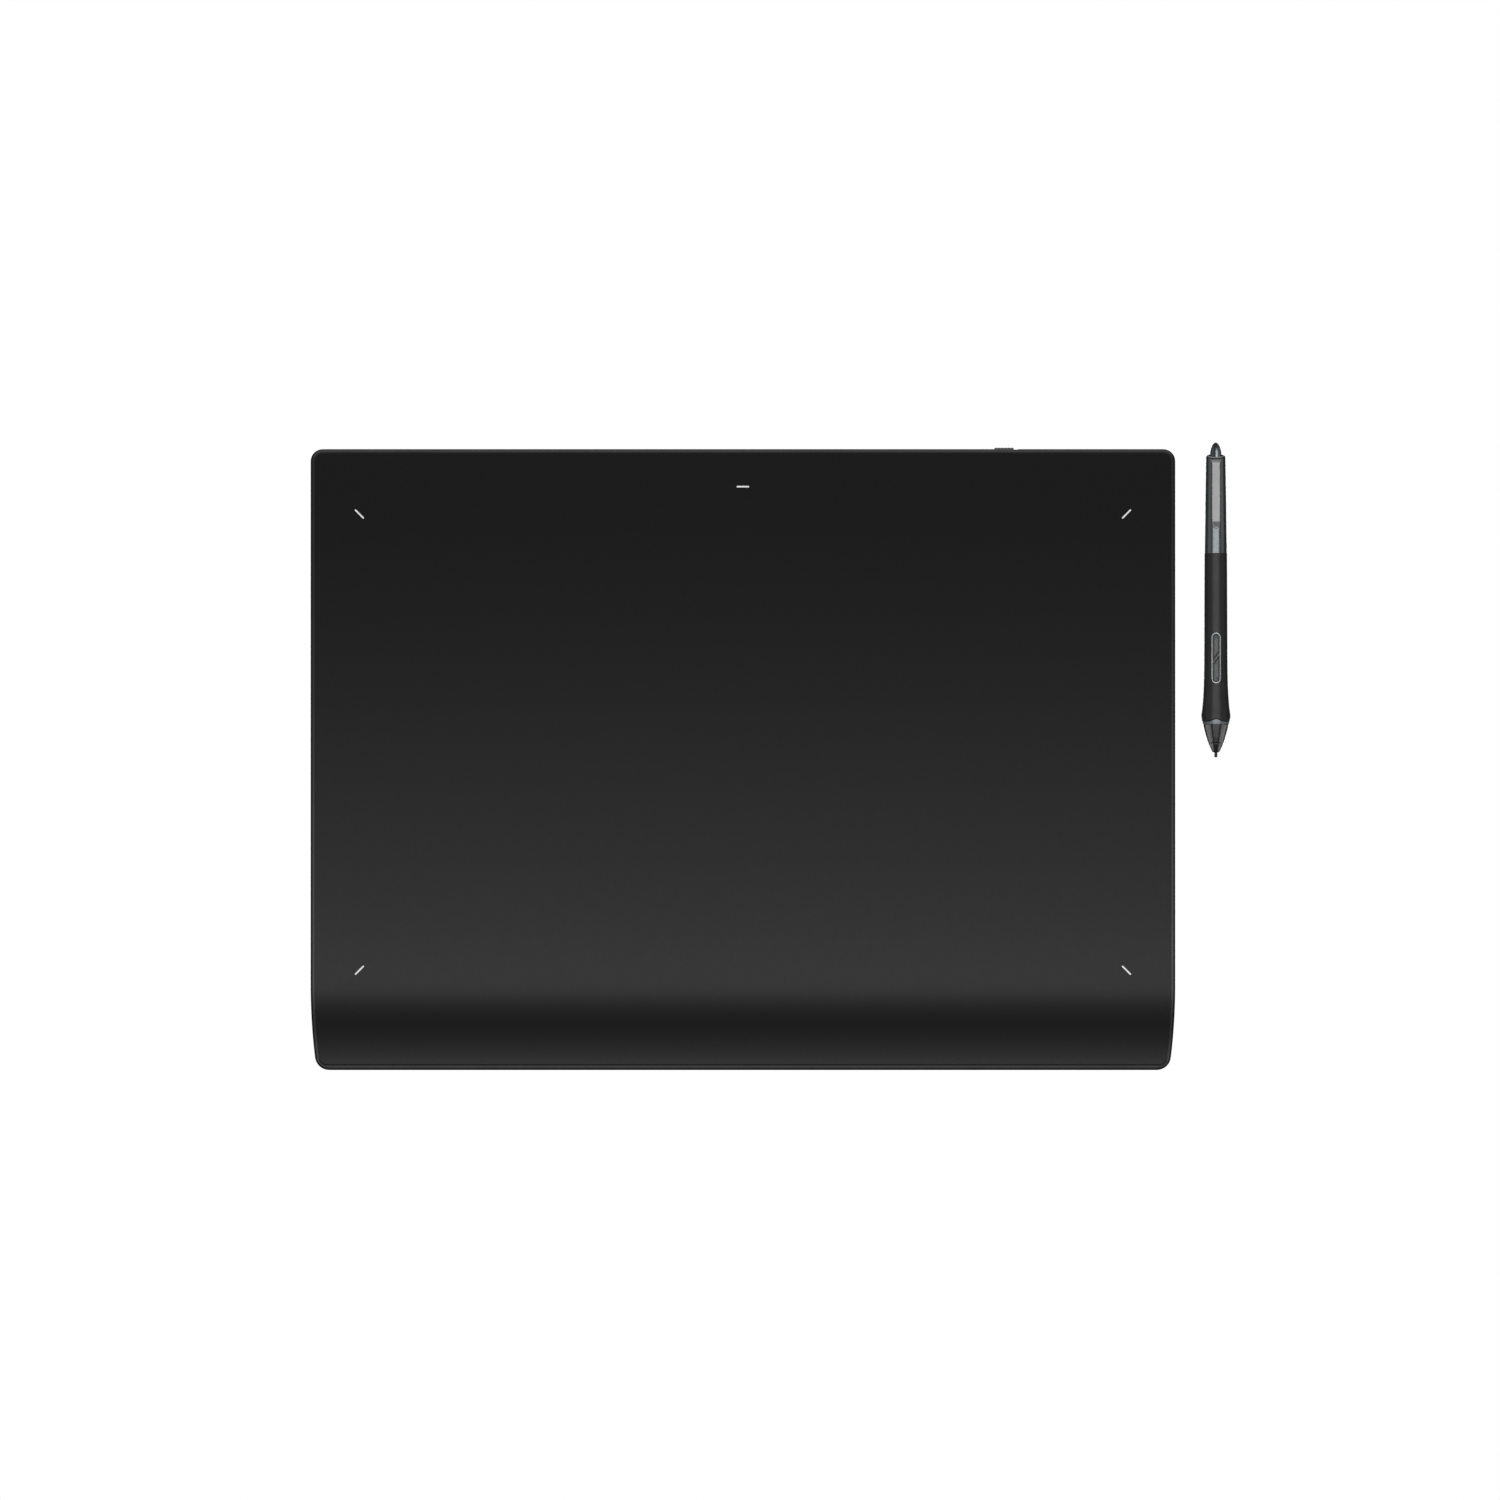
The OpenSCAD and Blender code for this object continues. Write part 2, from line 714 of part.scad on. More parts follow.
key_window_l = key_rim_l - 1.8;
key_window_w = key_rim_w - 1.8;
divider_turn = 52;
divider_w = 0.9;
key_gap = 0.3;

// A wall that crosses the key window on a slant.
module slant_wall(w, z0, z1) {
    translate([0, key_s, z0]) rotate(divider_turn) linear_extrude(z1 - z0)
        square([20, w], center = true);
}

module key_bezel() {
    color([0.78, 0.8, 0.82]) on_desk() difference() {
        intersection() {
            grip_skin(0.18, 34, 64);
            union() {
                difference() {
                    key_prism(key_rim_l, key_rim_w, 0, 10);
                    key_prism(key_window_l, key_window_w, -1, 11);
                }
                intersection() {
                    key_prism(key_rim_l - 0.4, key_rim_w - 0.4, 0, 10);
                    slant_wall(divider_w, 0, 10);
                }
            }
        }
        rod(4.42, 30, 70);
        translate([-5, 30, -8]) cube([10, 40, 8]);
        // the slanted divider stays below the rim
        intersection() {
            key_prism(key_window_l, key_window_w, 0, 10);
            difference() {
                grip_skin(1, 34, 64);
                grip_skin(0.02, 33, 65);
            }
        }
    }
}

stem_z = 3.62;

module pen_key(side) {
    play = 0.15;
    dimple_s = key_s + side * 10.1;
    stem_s = key_s + side * 6.5;
    color([0.3, 0.3, 0.3]) on_desk() difference() {
        union() {
            intersection() {
                key_prism(key_window_l - 2 * play, key_window_w - 2 * play, 4.6, 8);
                grip_skin(0.42, 34, 64);
                difference() {
                    translate([-3, key_s + (side > 0 ? -4 : -16), 0]) cube([6, 20, 10]);
                    slant_wall(divider_w + 2 * key_gap, -1, 11);
                    translate([0, key_s, 0]) rotate(divider_turn)
                        translate([-10, side > 0 ? -20 : 0, -1]) cube([20, 20, 12]);
                }
            }
            translate([0, stem_s, stem_z]) cylinder(r = 0.8, h = 1.2);
        }
        translate([0, dimple_s, lookup(dimple_s, grip_line) + 0.22]) cylinder(r = 0.45, h = 1);
    }
}

module key_front() { pen_key(-1); }
module key_rear() { pen_key(1); }

pcb_z = 0.6;
pcb_t = 0.8;
pcb_s0 = 33;
pcb_s1 = 88;

module key_switches() {
    color([0.75, 0.75, 0.77]) on_desk() for (side = [-1, 1])
        translate([0, key_s + side * 6.5, pcb_z + pcb_t]) {
            translate([-1.5, -1.5, 0]) cube([3, 3, 1.5]);
            translate([0, 0, 1.4]) cylinder(r = 0.6, h = 0.4);
        }
}

module pen_board() {
    color([0.07, 0.32, 0.2]) on_desk()
        block(-3.6, 3.6, pcb_s0, pcb_s1, pcb_z, pcb_z + pcb_t);
}

module pen_chips() {
    color([0.06, 0.06, 0.07]) on_desk() {
        for (c = [[68, 4], [76, 3]])
            block(-c[1] / 2, c[1] / 2, c[0] - c[1] / 2, c[0] + c[1] / 2,
                  pcb_z + pcb_t, pcb_z + pcb_t + 0.8);
    }
}

module pen_chassis() {
    color([0.25, 0.25, 0.26]) on_desk() intersection() {
        tube(grip_bore - 0.04, 3.2, pcb_s0 - 0.5, pcb_s1 + 0.5);
        block(-6, 6, pcb_s0 - 2, pcb_s1 + 2, -6, pcb_z);
    }
}

module ferrite_core() {
    color([0.2, 0.19, 0.19]) on_desk() tube(1.9, 1, 9, 23.6);
}

module antenna_coil() {
    color([0.72, 0.4, 0.2]) on_desk() tube(2.85, 1.9, 10.5, 21.5);
}

module pressure_sensor() {
    s0 = 28 + nib_travel + 0.1;
    color([0.6, 0.6, 0.55]) on_desk() rod(grip_bore - 0.04, s0, s0 + 3);
}

module barrel_joiner() {
    color([0.25, 0.25, 0.26]) on_desk() tube(grip_bore - 0.04, 3.5, 90, 111.9);
}

// The clip is drawn in side view, and its plan is cut from that.
clip_w = 4.03;
clip_tip = 113.6;
clip_root = 148.2;
clip_side = [[clip_root, 5.08], [146.6, 6.6], [145.4, 6.85], [117.2, 7], [114.2, 6.45],
             [clip_tip, 6.2], [clip_tip, 5.95], [115.4, 5.5], [116.6, 5.5], [118.6, 6.1],
             [144.4, 5.95], [145.7, 5.08]];
clip_post = [145.7, 147.7];
clip_post_z = 4.15;

module clip_plan() {
    point_s = 4.4;
    flare_s = 3.4;
    flare_w = 5.2;
    polygon([[0, clip_tip], [clip_w * 0.3, clip_tip + 0.9], [clip_w / 2, clip_tip + point_s],
             [clip_w / 2, clip_root - flare_s], [flare_w / 2, clip_root],
             [-flare_w / 2, clip_root], [-clip_w / 2, clip_root - flare_s],
             [-clip_w / 2, clip_tip + point_s], [-clip_w * 0.3, clip_tip + 0.9]]);
}

module pen_clip() {
    color([0.62, 0.63, 0.64]) on_desk() {
        intersection() {
            translate([-4, 0, 0]) rotate([90, 0, 90]) linear_extrude(8) polygon(clip_side);
            linear_extrude(10) clip_plan();
        }
        block(-1.25, 1.25, clip_post[0], clip_post[1], clip_post_z, 5.4);
    }
}

module upper_barrel() {
    slant = 13.5;
    color([0.28, 0.31, 0.33]) on_desk() difference() {
        turned(concat([[4.4, seam_s]], flipped(upper_line),
                      [[3.3, tail_s], [3.3, 147], [3.95, 147], [3.95, 112], [4.4, 112]]));
        // the tail is cut on a slant that faces the keys' side
        translate([0, tail_s, -4.85]) rotate([slant, 0, 0])
            translate([-10, 0, -10]) cube([20, 10, 30]);
        // seat of the clip
        block(-1.3, 1.3, clip_post[0] - 0.1, clip_post[1] + 0.1, clip_post_z - 0.1, 8);
    }
}

module eraser_tip() {
    color([0.13, 0.14, 0.15]) on_desk()
        turned(concat([[0, 145.6], [3.8, 145.6], [3.8, 146.9]], flipped(eraser_line)));
}

module eraser_holder() {
    color([0.8, 0.8, 0.78]) on_desk() rod(1.6, 141, 145.6);
}

module eraser_sensor() {
    s1 = 141 - eraser_travel - 0.1;
    color([0.6, 0.6, 0.55]) on_desk() rod(3.9, s1 - 3, s1);
}

module tail_coil() {
    s0 = 141 - eraser_travel - 0.1;
    color([0.72, 0.4, 0.2]) on_desk() tube(3.6, 2, s0, 144.6);
}

module tail_wires() {
    s1 = 141 - eraser_travel - 0.1 - 3;
    color([0.1, 0.1, 0.1]) on_desk() for (x = [-1, 1])
        translate([x, 0, pcb_z + pcb_t / 2]) rod(0.3, pcb_s1, s1);
}

work_surface();
inner_frame();
rear_cover();
status_light_guide();
corner_light_guides();
status_led_board();
corner_leds();
sensor_board();
shield_plate();
support_pads();
main_board();
board_chips();
bluetooth_antenna();
sensor_ribbon();
battery();
battery_lead();
usb_c_shell();
usb_c_tongue();
power_slider();
slide_switch();
switch_stub();
front_feet();
rear_feet();
centre_foot();
case_screws();
board_screws();
pen_nib();
nib_holder();
nose_tip();
nose_cone();
accent_ring();
grip_barrel();
key_bezel();
key_front();
key_rear();
key_switches();
pen_board();
pen_chips();
pen_chassis();
ferrite_core();
antenna_coil();
pressure_sensor();
barrel_joiner();
upper_barrel();
pen_clip();
eraser_tip();
eraser_holder();
eraser_sensor();
tail_coil();
tail_wires();
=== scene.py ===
"""Pen drawing tablet and its pen: shells, keys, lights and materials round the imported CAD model."""
import json
import math

import bmesh
import bpy
from mathutils import Matrix, Vector

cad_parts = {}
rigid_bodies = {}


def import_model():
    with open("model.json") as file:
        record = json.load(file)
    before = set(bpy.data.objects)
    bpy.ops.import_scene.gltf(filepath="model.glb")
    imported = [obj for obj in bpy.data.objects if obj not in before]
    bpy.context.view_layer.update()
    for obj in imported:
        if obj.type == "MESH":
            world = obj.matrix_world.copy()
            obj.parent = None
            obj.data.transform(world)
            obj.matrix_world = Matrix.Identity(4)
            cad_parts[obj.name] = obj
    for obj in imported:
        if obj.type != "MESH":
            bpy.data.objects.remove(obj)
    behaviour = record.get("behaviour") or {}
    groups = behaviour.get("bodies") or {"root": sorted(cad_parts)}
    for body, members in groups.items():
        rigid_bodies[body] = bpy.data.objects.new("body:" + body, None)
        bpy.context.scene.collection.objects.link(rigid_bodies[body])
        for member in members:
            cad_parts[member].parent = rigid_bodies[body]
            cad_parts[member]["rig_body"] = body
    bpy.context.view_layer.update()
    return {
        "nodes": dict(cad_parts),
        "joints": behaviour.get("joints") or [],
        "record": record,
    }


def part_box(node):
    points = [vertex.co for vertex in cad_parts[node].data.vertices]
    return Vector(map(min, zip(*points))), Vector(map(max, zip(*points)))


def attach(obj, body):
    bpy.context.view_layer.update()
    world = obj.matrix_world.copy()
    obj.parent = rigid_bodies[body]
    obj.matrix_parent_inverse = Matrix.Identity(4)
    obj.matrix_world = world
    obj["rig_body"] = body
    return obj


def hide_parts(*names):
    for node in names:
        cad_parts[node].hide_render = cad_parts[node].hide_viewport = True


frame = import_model()
nodes = frame["nodes"]
MM = 0.001


def joint(name):
    return next(j for j in frame["joints"] if j["name"] == name)


def box_mm(node):
    """A CAD node's lowest and highest corners in millimetres."""
    low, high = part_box(node)
    return low / MM, high / MM


# ---- driving sizes, in millimetres ----

# tablet
COVER_LOW, COVER_HIGH = box_mm("rear_cover")
HALF_W = (COVER_HIGH.x - COVER_LOW.x) / 2
HALF_D = (COVER_HIGH.y - COVER_LOW.y) / 2
FLOOR_Z = COVER_LOW.z
TOP_Z = box_mm("work_surface")[1].z
ROLL_DEPTH = 42.0
ROLL_RADIUS = 200.0
WALL_LEAN = math.tan(math.radians(33))
EDGE_Z = 7.4
FRONT_EDGE_Z = 2.9
CORNER_R = 6.0
FRONT_CORNER_R = 6.2
RIM_W = 2.1
FRONT_RIM_W = 2.7
PANEL_T = 1.0
PANEL_GAP = 0.3
MARK_GAP = 0.25
ROLL_Y = ROLL_DEPTH - HALF_D
ROLL_Z = TOP_Z - ROLL_RADIUS

# pen: its axis runs from the nib's tip towards the eraser, and its keys face up
PEN_ALONG = Vector(joint("nib_press")["axis"]).normalized()
PEN_UP = Vector((1, 0, 0)).cross(PEN_ALONG)
# the clip's hinge from the nib's tip: across, along and up
CLIP_PIVOT = (0, 146.7, 4.9)
PEN_TIP = Vector(joint("clip_flex")["pos_m"]) - MM * (CLIP_PIVOT[1] * PEN_ALONG + CLIP_PIVOT[2] * PEN_UP)

ON_DESK = Matrix.Scale(MM, 4)
ON_PEN = Matrix.Translation(PEN_TIP) @ Matrix((
    (1, PEN_ALONG.x, PEN_UP.x, 0),
    (0, PEN_ALONG.y, PEN_UP.y, 0),
    (0, PEN_ALONG.z, PEN_UP.z, 0),
    (0, 0, 0, 1))) @ Matrix.Scale(MM, 4)


# ---- procedural materials ----

class Graph:
    """A material's node tree, with short calls for the nodes used here."""

    def __init__(self, name):
        self.material = bpy.data.materials.new(name)
        self.material.use_nodes = True
        self.tree = self.material.node_tree
        self.shader = self.tree.nodes["Principled BSDF"]
        self.place = self.add("TexCoord").outputs["Object"]

    def add(self, kind, **settings):
        node = self.tree.nodes.new("ShaderNode" + kind)
        for key, value in settings.items():
            setattr(node, key, value)
        return node

    def link(self, source, target):
        self.tree.links.new(source, target)

    def set(self, **values):
        for key, value in values.items():
            self.shader.inputs[key.replace("_", " ")].default_value = value

    def noise(self, size_mm, detail=2.0, stretch=(1, 1, 1)):
        """Noise whose blotches are about size_mm across, from 0 to 1."""
        mapping = self.add("Mapping")
        mapping.inputs["Scale"].default_value = stretch
        self.link(self.place, mapping.inputs["Vector"])
        texture = self.add("TexNoise")
        texture.inputs["Scale"].default_value = 1 / (size_mm * MM)
        texture.inputs["Detail"].default_value = detail
        self.link(mapping.outputs["Vector"], texture.inputs["Vector"])
        return texture.outputs["Fac"]

    def span(self, source, low, high, from_low=0.3, from_high=0.7):
        """source, spread over a new range."""
        node = self.add("MapRange")
        ends = {"From Min": from_low, "From Max": from_high, "To Min": low, "To Max": high}
        for end, value in ends.items():
            node.inputs[end].default_value = value
        self.link(source, node.inputs["Value"])
        return node.outputs["Result"]

    def mix(self, factor, a, b):
        """Colour a where factor is 0 and b where it is 1. Each colour is a tuple or a socket."""
        node = self.add("Mix", data_type="RGBA")
        self.link(factor, node.inputs["Factor"])
        for value, socket in ((a, node.inputs[6]), (b, node.inputs[7])):
            if isinstance(value, tuple):
                socket.default_value = value
            else:
                self.link(value, socket)
        return node.outputs[2]

    def math(self, operation, a, b):
        node = self.add("Math", operation=operation)
        for value, socket in ((a, node.inputs[0]), (b, node.inputs[1])):
            if isinstance(value, (int, float)):
                socket.default_value = value
            else:
                self.link(value, socket)
        return node.outputs[0]

    def bump(self, height, depth_mm):
        node = self.add("Bump")
        node.inputs["Distance"].default_value = depth_mm * MM
        node.inputs["Strength"].default_value = 1.0
        self.link(height, node.inputs["Height"])
        self.link(node.outputs["Normal"], self.shader.inputs["Normal"])


def rgb(level, tint=(1, 1, 1)):
    """A colour from one lightness and a tint, in linear light."""
    return (level * tint[0], level * tint[1], level * tint[2], 1)


def shade(colour, share):
    return (colour[0] * share, colour[1] * share, colour[2] * share, 1)


def finish(name, colour, rough, metal=0.0, grain_mm=0.3, grain_depth=0.01, mottle=0.12,
           mottle_mm=12, rough_spread=0.06):
    """A surface with fine grain, slow colour change and uneven gloss."""
    g = Graph(name)
    slow = g.noise(mottle_mm, 3)
    fine = g.noise(grain_mm, 2)
    g.link(g.mix(g.span(slow, 0, 1), shade(colour, 1 - mottle), shade(colour, 1 + mottle)),
           g.shader.inputs["Base Color"])
    g.link(g.span(fine, rough - rough_spread, rough + rough_spread), g.shader.inputs["Roughness"])
    g.set(Metallic=metal)
    g.bump(fine, grain_depth)
    return g.material


def circuit(name, base, trace):
    """Solder mask with a fine grid of copper tracks under it and a few tinned pads."""
    g = Graph(name)
    grid = g.add("TexBrick")
    grid.inputs["Scale"].default_value = 1 / (9 * MM)
    grid.inputs["Mortar Size"].default_value = 0.05
    for part, level in (("Color1", 0), ("Color2", 0), ("Mortar", 1)):
        grid.inputs[part].default_value = rgb(level)
    g.link(g.place, grid.inputs["Vector"])
    pads = g.add("TexVoronoi")
    pads.inputs["Scale"].default_value = 1 / (6 * MM)
    g.link(g.place, pads.inputs["Vector"])
    pad = g.math("LESS_THAN", pads.outputs["Distance"], 0.09)
    tracks = g.mix(grid.outputs["Color"], base, trace)
    g.link(g.mix(pad, tracks, (0.55, 0.5, 0.4, 1)), g.shader.inputs["Base Color"])
    g.link(g.math("MULTIPLY", pad, 0.9), g.shader.inputs["Metallic"])
    g.link(g.span(g.noise(2), 0.25, 0.4), g.shader.inputs["Roughness"])
    g.bump(grid.outputs["Color"], 0.02)
    return g.material


def winding(name, colour, axis):
    """Fine enamelled wires or copper tracks side by side, stepping along one of the object's axes."""
    g = Graph(name)
    wave = g.add("TexWave", wave_type="BANDS", bands_direction=axis)
    # a wave texture repeats every 1 / (20 * scale)
    wire_mm = 0.25
    wave.inputs["Scale"].default_value = 1 / (wire_mm * MM) / 20
    wave.inputs["Distortion"].default_value = 0.4
    g.link(g.place, wave.inputs["Vector"])
    g.link(g.mix(wave.outputs["Fac"], shade(colour, 0.35), shade(colour, 1.1)),
           g.shader.inputs["Base Color"])
    g.link(g.span(g.noise(0.5), 0.22, 0.36), g.shader.inputs["Roughness"])
    g.set(Metallic=0.85)
    g.bump(wave.outputs["Fac"], 0.05)
    return g.material


def glow(name, colour, strength, above=None):
    """Milky plastic lit from inside, slightly uneven, and dark below a height in mm if one is given."""
    g = Graph(name)
    slow = g.span(g.noise(1.5), strength * 0.85, strength * 1.15)
    milk = g.mix(g.span(g.noise(0.4), 0, 1), shade(colour, 0.94), colour)
    if above:
        split = g.add("SeparateXYZ")
        g.link(g.place, split.inputs[0])
        shows = g.math("GREATER_THAN", split.outputs["Z"], above * MM)
        slow = g.math("MULTIPLY", slow, shows)
        milk = g.mix(shows, rgb(0.01), milk)
    g.link(slow, g.shader.inputs["Emission Strength"])
    g.link(milk, g.shader.inputs["Base Color"])
    g.set(Emission_Color=colour, Roughness=0.35)
    return g.material


def drawing_film(name):
    """The work surface: dark film with a very fine tooth."""
    g = Graph(name)
    tooth = g.noise(0.16, 2)
    cloud = g.noise(60, 3)
    fleck = g.noise(0.5, 1)
    dark, light = rgb(0.0032), rgb(0.0048)
    tone = g.mix(g.span(fleck, 0, 1), dark, light)
    g.link(g.mix(g.span(cloud, 0, 0.35), tone, rgb(0.005)), g.shader.inputs["Base Color"])
    g.link(g.span(tooth, 0.15, 0.21), g.shader.inputs["Roughness"])
    g.link(g.span(g.noise(0.45, 2), 0.42, 0.58), g.shader.inputs["Specular IOR Level"])
    g.bump(tooth, 0.003)
    return g.material


def soft_touch(name, level):
    """Rubbery paint: dark and softly glossy, with faint handling marks."""
    g = Graph(name)
    rubbed = g.noise(14, 4)
    tooth = g.noise(0.12, 2)
    g.link(g.mix(g.span(rubbed, 0, 1, 0.4, 0.65), rgb(level * 0.92), rgb(level * 1.12)),
           g.shader.inputs["Base Color"])
    g.link(g.span(rubbed, 0.46, 0.4), g.shader.inputs["Roughness"])
    g.bump(tooth, 0.004)
    return g.material


def brushed(name, colour, rough, metal, along=(1, 0.03, 1), depth=0.003):
    """Metal with a faint lengthways brushing, and slightly brighter where it is rubbed."""
    g = Graph(name)
    lines = g.noise(0.12, 2, along)
    rubbed = g.noise(9, 3)
    g.link(g.mix(g.span(rubbed, 0, 1), shade(colour, 0.94), shade(colour, 1.06)),
           g.shader.inputs["Base Color"])
    g.link(g.span(lines, rough - 0.02, rough + 0.03), g.shader.inputs["Roughness"])
    g.set(Metallic=metal)
    g.bump(lines, depth)
    return g.material


def blasted(name, colour, rough, metal):
    """Fine-blasted anodised aluminium, with a painted highlight along its rounded upper edge, broken
    into patches like wear.
    """
    g = Graph(name)
    pits = g.add("TexVoronoi")
    pits.inputs["Scale"].default_value = 1 / (0.22 * MM)
    g.link(g.place, pits.inputs["Vector"])
    cloud = g.noise(25, 3)
    plain = g.mix(g.span(cloud, 0, 1), shade(colour, 0.93), shade(colour, 1.07))
    facing = g.add("SeparateXYZ")
    g.link(g.add("NewGeometry").outputs["Normal"], facing.inputs[0])
    up = facing.outputs["Z"]
    # painted highlight mixed with edge wear: the base colour is lightened where the rounded upper edge
    # faces partly upwards, in uneven patches
    rounding = g.math("MULTIPLY", g.span(up, 0, 1, 0.05, 0.4), g.span(up, 1, 0, 0.85, 0.98))
    edge_highlight_and_wear = g.math("MULTIPLY", rounding, g.span(g.noise(3, 3), 0.3, 1))
    g.link(g.mix(edge_highlight_and_wear, plain, shade(colour, 1.6)), g.shader.inputs["Base Color"])
    g.link(g.span(pits.outputs["Distance"], rough - 0.05, rough + 0.06, 0, 0.8),
           g.shader.inputs["Roughness"])
    g.set(Metallic=metal)
    g.bump(pits.outputs["Distance"], 0.004)
    return g.material


COOL = (0.93, 1.0, 1.05)
LOOKS = {
    "work_surface_plastic": drawing_film("drawing_film"),
    # the shell's finish carries a painted highlight along its rounded upper edge
    "anodised_shell": blasted("dark_anodised", rgb(0.095), 0.2, 1.0),
    "frame_plastic": finish("frame_plastic", rgb(0.035), 0.5),
    "light_guide": glow("light_guide", rgb(0.75), 0.62, above=TOP_Z - 0.3),
    "circuit_board": circuit("solder_mask", (0.008, 0.055, 0.03, 1), (0.03, 0.13, 0.06, 1)),
    "led": glow("led_phosphor", (0.9, 0.8, 0.35, 1), 0.4),
    "shield": brushed("shield_sheet", rgb(0.55), 0.3, 1.0),
    "foam": finish("foam", rgb(0.05), 0.9, grain_mm=0.8, grain_depth=0.15, mottle=0.3, mottle_mm=1.2),
    "chip": finish("chip_epoxy", rgb(0.012), 0.5, grain_mm=0.1, grain_depth=0.004),
    "antenna_copper": winding("antenna_track", (0.8, 0.5, 0.25, 1), "X"),
    "flat_cable": winding("flat_cable", (0.7, 0.68, 0.6, 1), "X"),
    "battery_foil": finish("battery_foil", rgb(0.6), 0.32, 1.0, grain_mm=2.5, grain_depth=0.08),
    "wire": finish("wire_skin", (0.35, 0.02, 0.02, 1), 0.35, grain_mm=0.5),
    "socket_steel": brushed("socket_steel", rgb(0.6), 0.25, 1.0),
    "socket_plastic": finish("socket_plastic", rgb(0.012), 0.45, grain_mm=0.15, grain_depth=0.004),
    "slider_plastic": finish("slider_plastic", rgb(0.2), 0.42, grain_mm=0.12, grain_depth=0.004),
    "stub_plastic": finish("stub_plastic", rgb(0.75), 0.45, mottle=0.03),
    "foot_rubber": finish("foot_rubber", rgb(0.012), 0.75, grain_mm=0.35, grain_depth=0.02,
                          mottle=0.3, mottle_mm=5),
    "black_screw": brushed("black_screw", rgb(0.05), 0.35, 0.9, (1, 1, 1)),
    "zinc_screw": brushed("zinc_screw", rgb(0.6), 0.28, 1.0, (1, 1, 1)),
    "nib_plastic": finish("nib_plastic", rgb(0.012), 0.38, grain_mm=0.2, grain_depth=0.004),
    "carrier_plastic": finish("carrier_plastic", rgb(0.7), 0.45, mottle=0.04),
    "nose_plastic": finish("nose_plastic", rgb(0.012), 0.22, grain_mm=0.15, grain_depth=0.0015,
                           mottle_mm=6, rough_spread=0.03),
    "ring_metal": brushed("ring_metal", rgb(0.3, COOL), 0.42, 0.6, (1, 1, 1), 0.001),
    "grip_soft": soft_touch("soft_touch", 0.022),
    "bezel_metal": brushed("bezel_metal", rgb(0.42, COOL), 0.34, 1.0, (1, 1, 1), 0.0001),
    "key_plastic": finish("key_plastic", rgb(0.15), 0.5, grain_mm=0.15, grain_depth=0.004, mottle=0.05),
    "ferrite": finish("ferrite", rgb(0.03), 0.6, grain_mm=0.2, grain_depth=0.02, mottle=0.25,
                      mottle_mm=1),
    "copper_winding": winding("copper_winding", (0.75, 0.3, 0.12, 1), "Y"),
    "sensor_ceramic": finish("sensor_ceramic", (0.45, 0.43, 0.36, 1), 0.55, mottle=0.06, mottle_mm=2),
    "gunmetal": brushed("gunmetal", rgb(0.25, (0.93, 1.0, 1.04)), 0.29, 1.0, depth=0.0004),
    "clip_metal": brushed("clip_metal", rgb(0.26), 0.3, 1.0, depth=0.0015),
    "eraser_plastic": finish("eraser_plastic", rgb(0.22, COOL), 0.25, 0.9, grain_mm=0.5,
                             grain_depth=0.0005, mottle=0.05, rough_spread=0.03),
}
SLOT_OF = {part["node"]: part["material_slot"] for part in frame["record"]["subparts"]}


# ---- mesh tools: everything is built in millimetres, then placed ----

def tidy_normals(mesh, sharp_degrees):
    """Turns the normals outwards and shades smooth between the edges that bend more than this."""
    work = bmesh.new()
    work.from_mesh(mesh)
    bmesh.ops.recalc_face_normals(work, faces=work.faces)
    work.to_mesh(mesh)
    work.free()
    mesh.shade_smooth()
    mesh.set_sharp_from_angle(angle=math.radians(sharp_degrees))


def added(name, data):
    """A new object in the scene."""
    obj = bpy.data.objects.new(name, data)
    bpy.context.scene.collection.objects.link(obj)
    return obj


def mesh_object(name, shape, place=ON_DESK, sharp=32):
    """A mesh of (points, faces) in millimetres, set down by the matrix place."""
    points, faces = shape
    mesh = bpy.data.meshes.new(name)
    mesh.from_pydata([place @ Vector(p) for p in points], [], faces)
    tidy_normals(mesh, sharp)
    return added(name, mesh)


def modifier(obj, kind, **settings):
    new = obj.modifiers.new(kind.lower(), kind)
    for key, value in settings.items():
        setattr(new, key, value)


def weigh_normals(obj):
    """Shades large faces flat, so that only the narrow ones beside them turn."""
    modifier(obj, "WEIGHTED_NORMAL", keep_sharp=True)


def soften(obj, width_mm):
    """Rounds the sharp edges."""
    modifier(obj, "BEVEL", width=width_mm * MM, segments=2, limit_method="ANGLE",
             angle_limit=math.radians(35), harden_normals=False)
    weigh_normals(obj)


def carve(obj, *cutters):
    """Cuts the cutters out of obj for good."""
    for cutter in cutters:
        modifier(obj, "BOOLEAN", object=cutter, operation="DIFFERENCE", solver="EXACT")
    graph = bpy.context.evaluated_depsgraph_get()
    carved = bpy.data.meshes.new_from_object(obj.evaluated_get(graph), depsgraph=graph)
    obj.modifiers.clear()
    obj.data = carved
    for cutter in cutters:
        bpy.data.objects.remove(cutter)
    tidy_normals(obj.data, 32)


def installed(obj, node):
    """obj stands for this CAD node: it rides on its body and takes its finish."""
    body = nodes[node]["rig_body"]
    slot = SLOT_OF[node]
    obj.data.materials.clear()
    obj.data.materials.append(LOOKS[slot])
    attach(obj, body)
    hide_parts(node)
    return obj


def loft(rings, cap_first=None, cap_last=None):
    """Joins rings of equally many points. A cap is a function from a ring's indices to faces."""
    count = len(rings[0])
    points = [p for ring in rings for p in ring]
    faces = []
    for k in range(len(rings) - 1):
        a, b = k * count, (k + 1) * count
        faces += [(a + i, a + (i + 1) % count, b + (i + 1) % count, b + i) for i in range(count)]
    if cap_first:
        faces += cap_first(list(range(count)))
    if cap_last:
        start = (len(rings) - 1) * count
        faces += cap_last(list(range(start, start + count)))
    return points, faces


def ladder(ring):
    """Caps a ring whose first half mirrors its second with strips across it."""
    half = len(ring) // 2
    return [(ring[i], ring[i + 1], ring[-2 - i], ring[-1 - i]) for i in range(half - 1)]


def one_face(ring):
    return [tuple(ring)]


def spread(low, high, count):
    """count + 1 evenly spread values from low to high."""
    return [low + (high - low) * i / count for i in range(count + 1)]


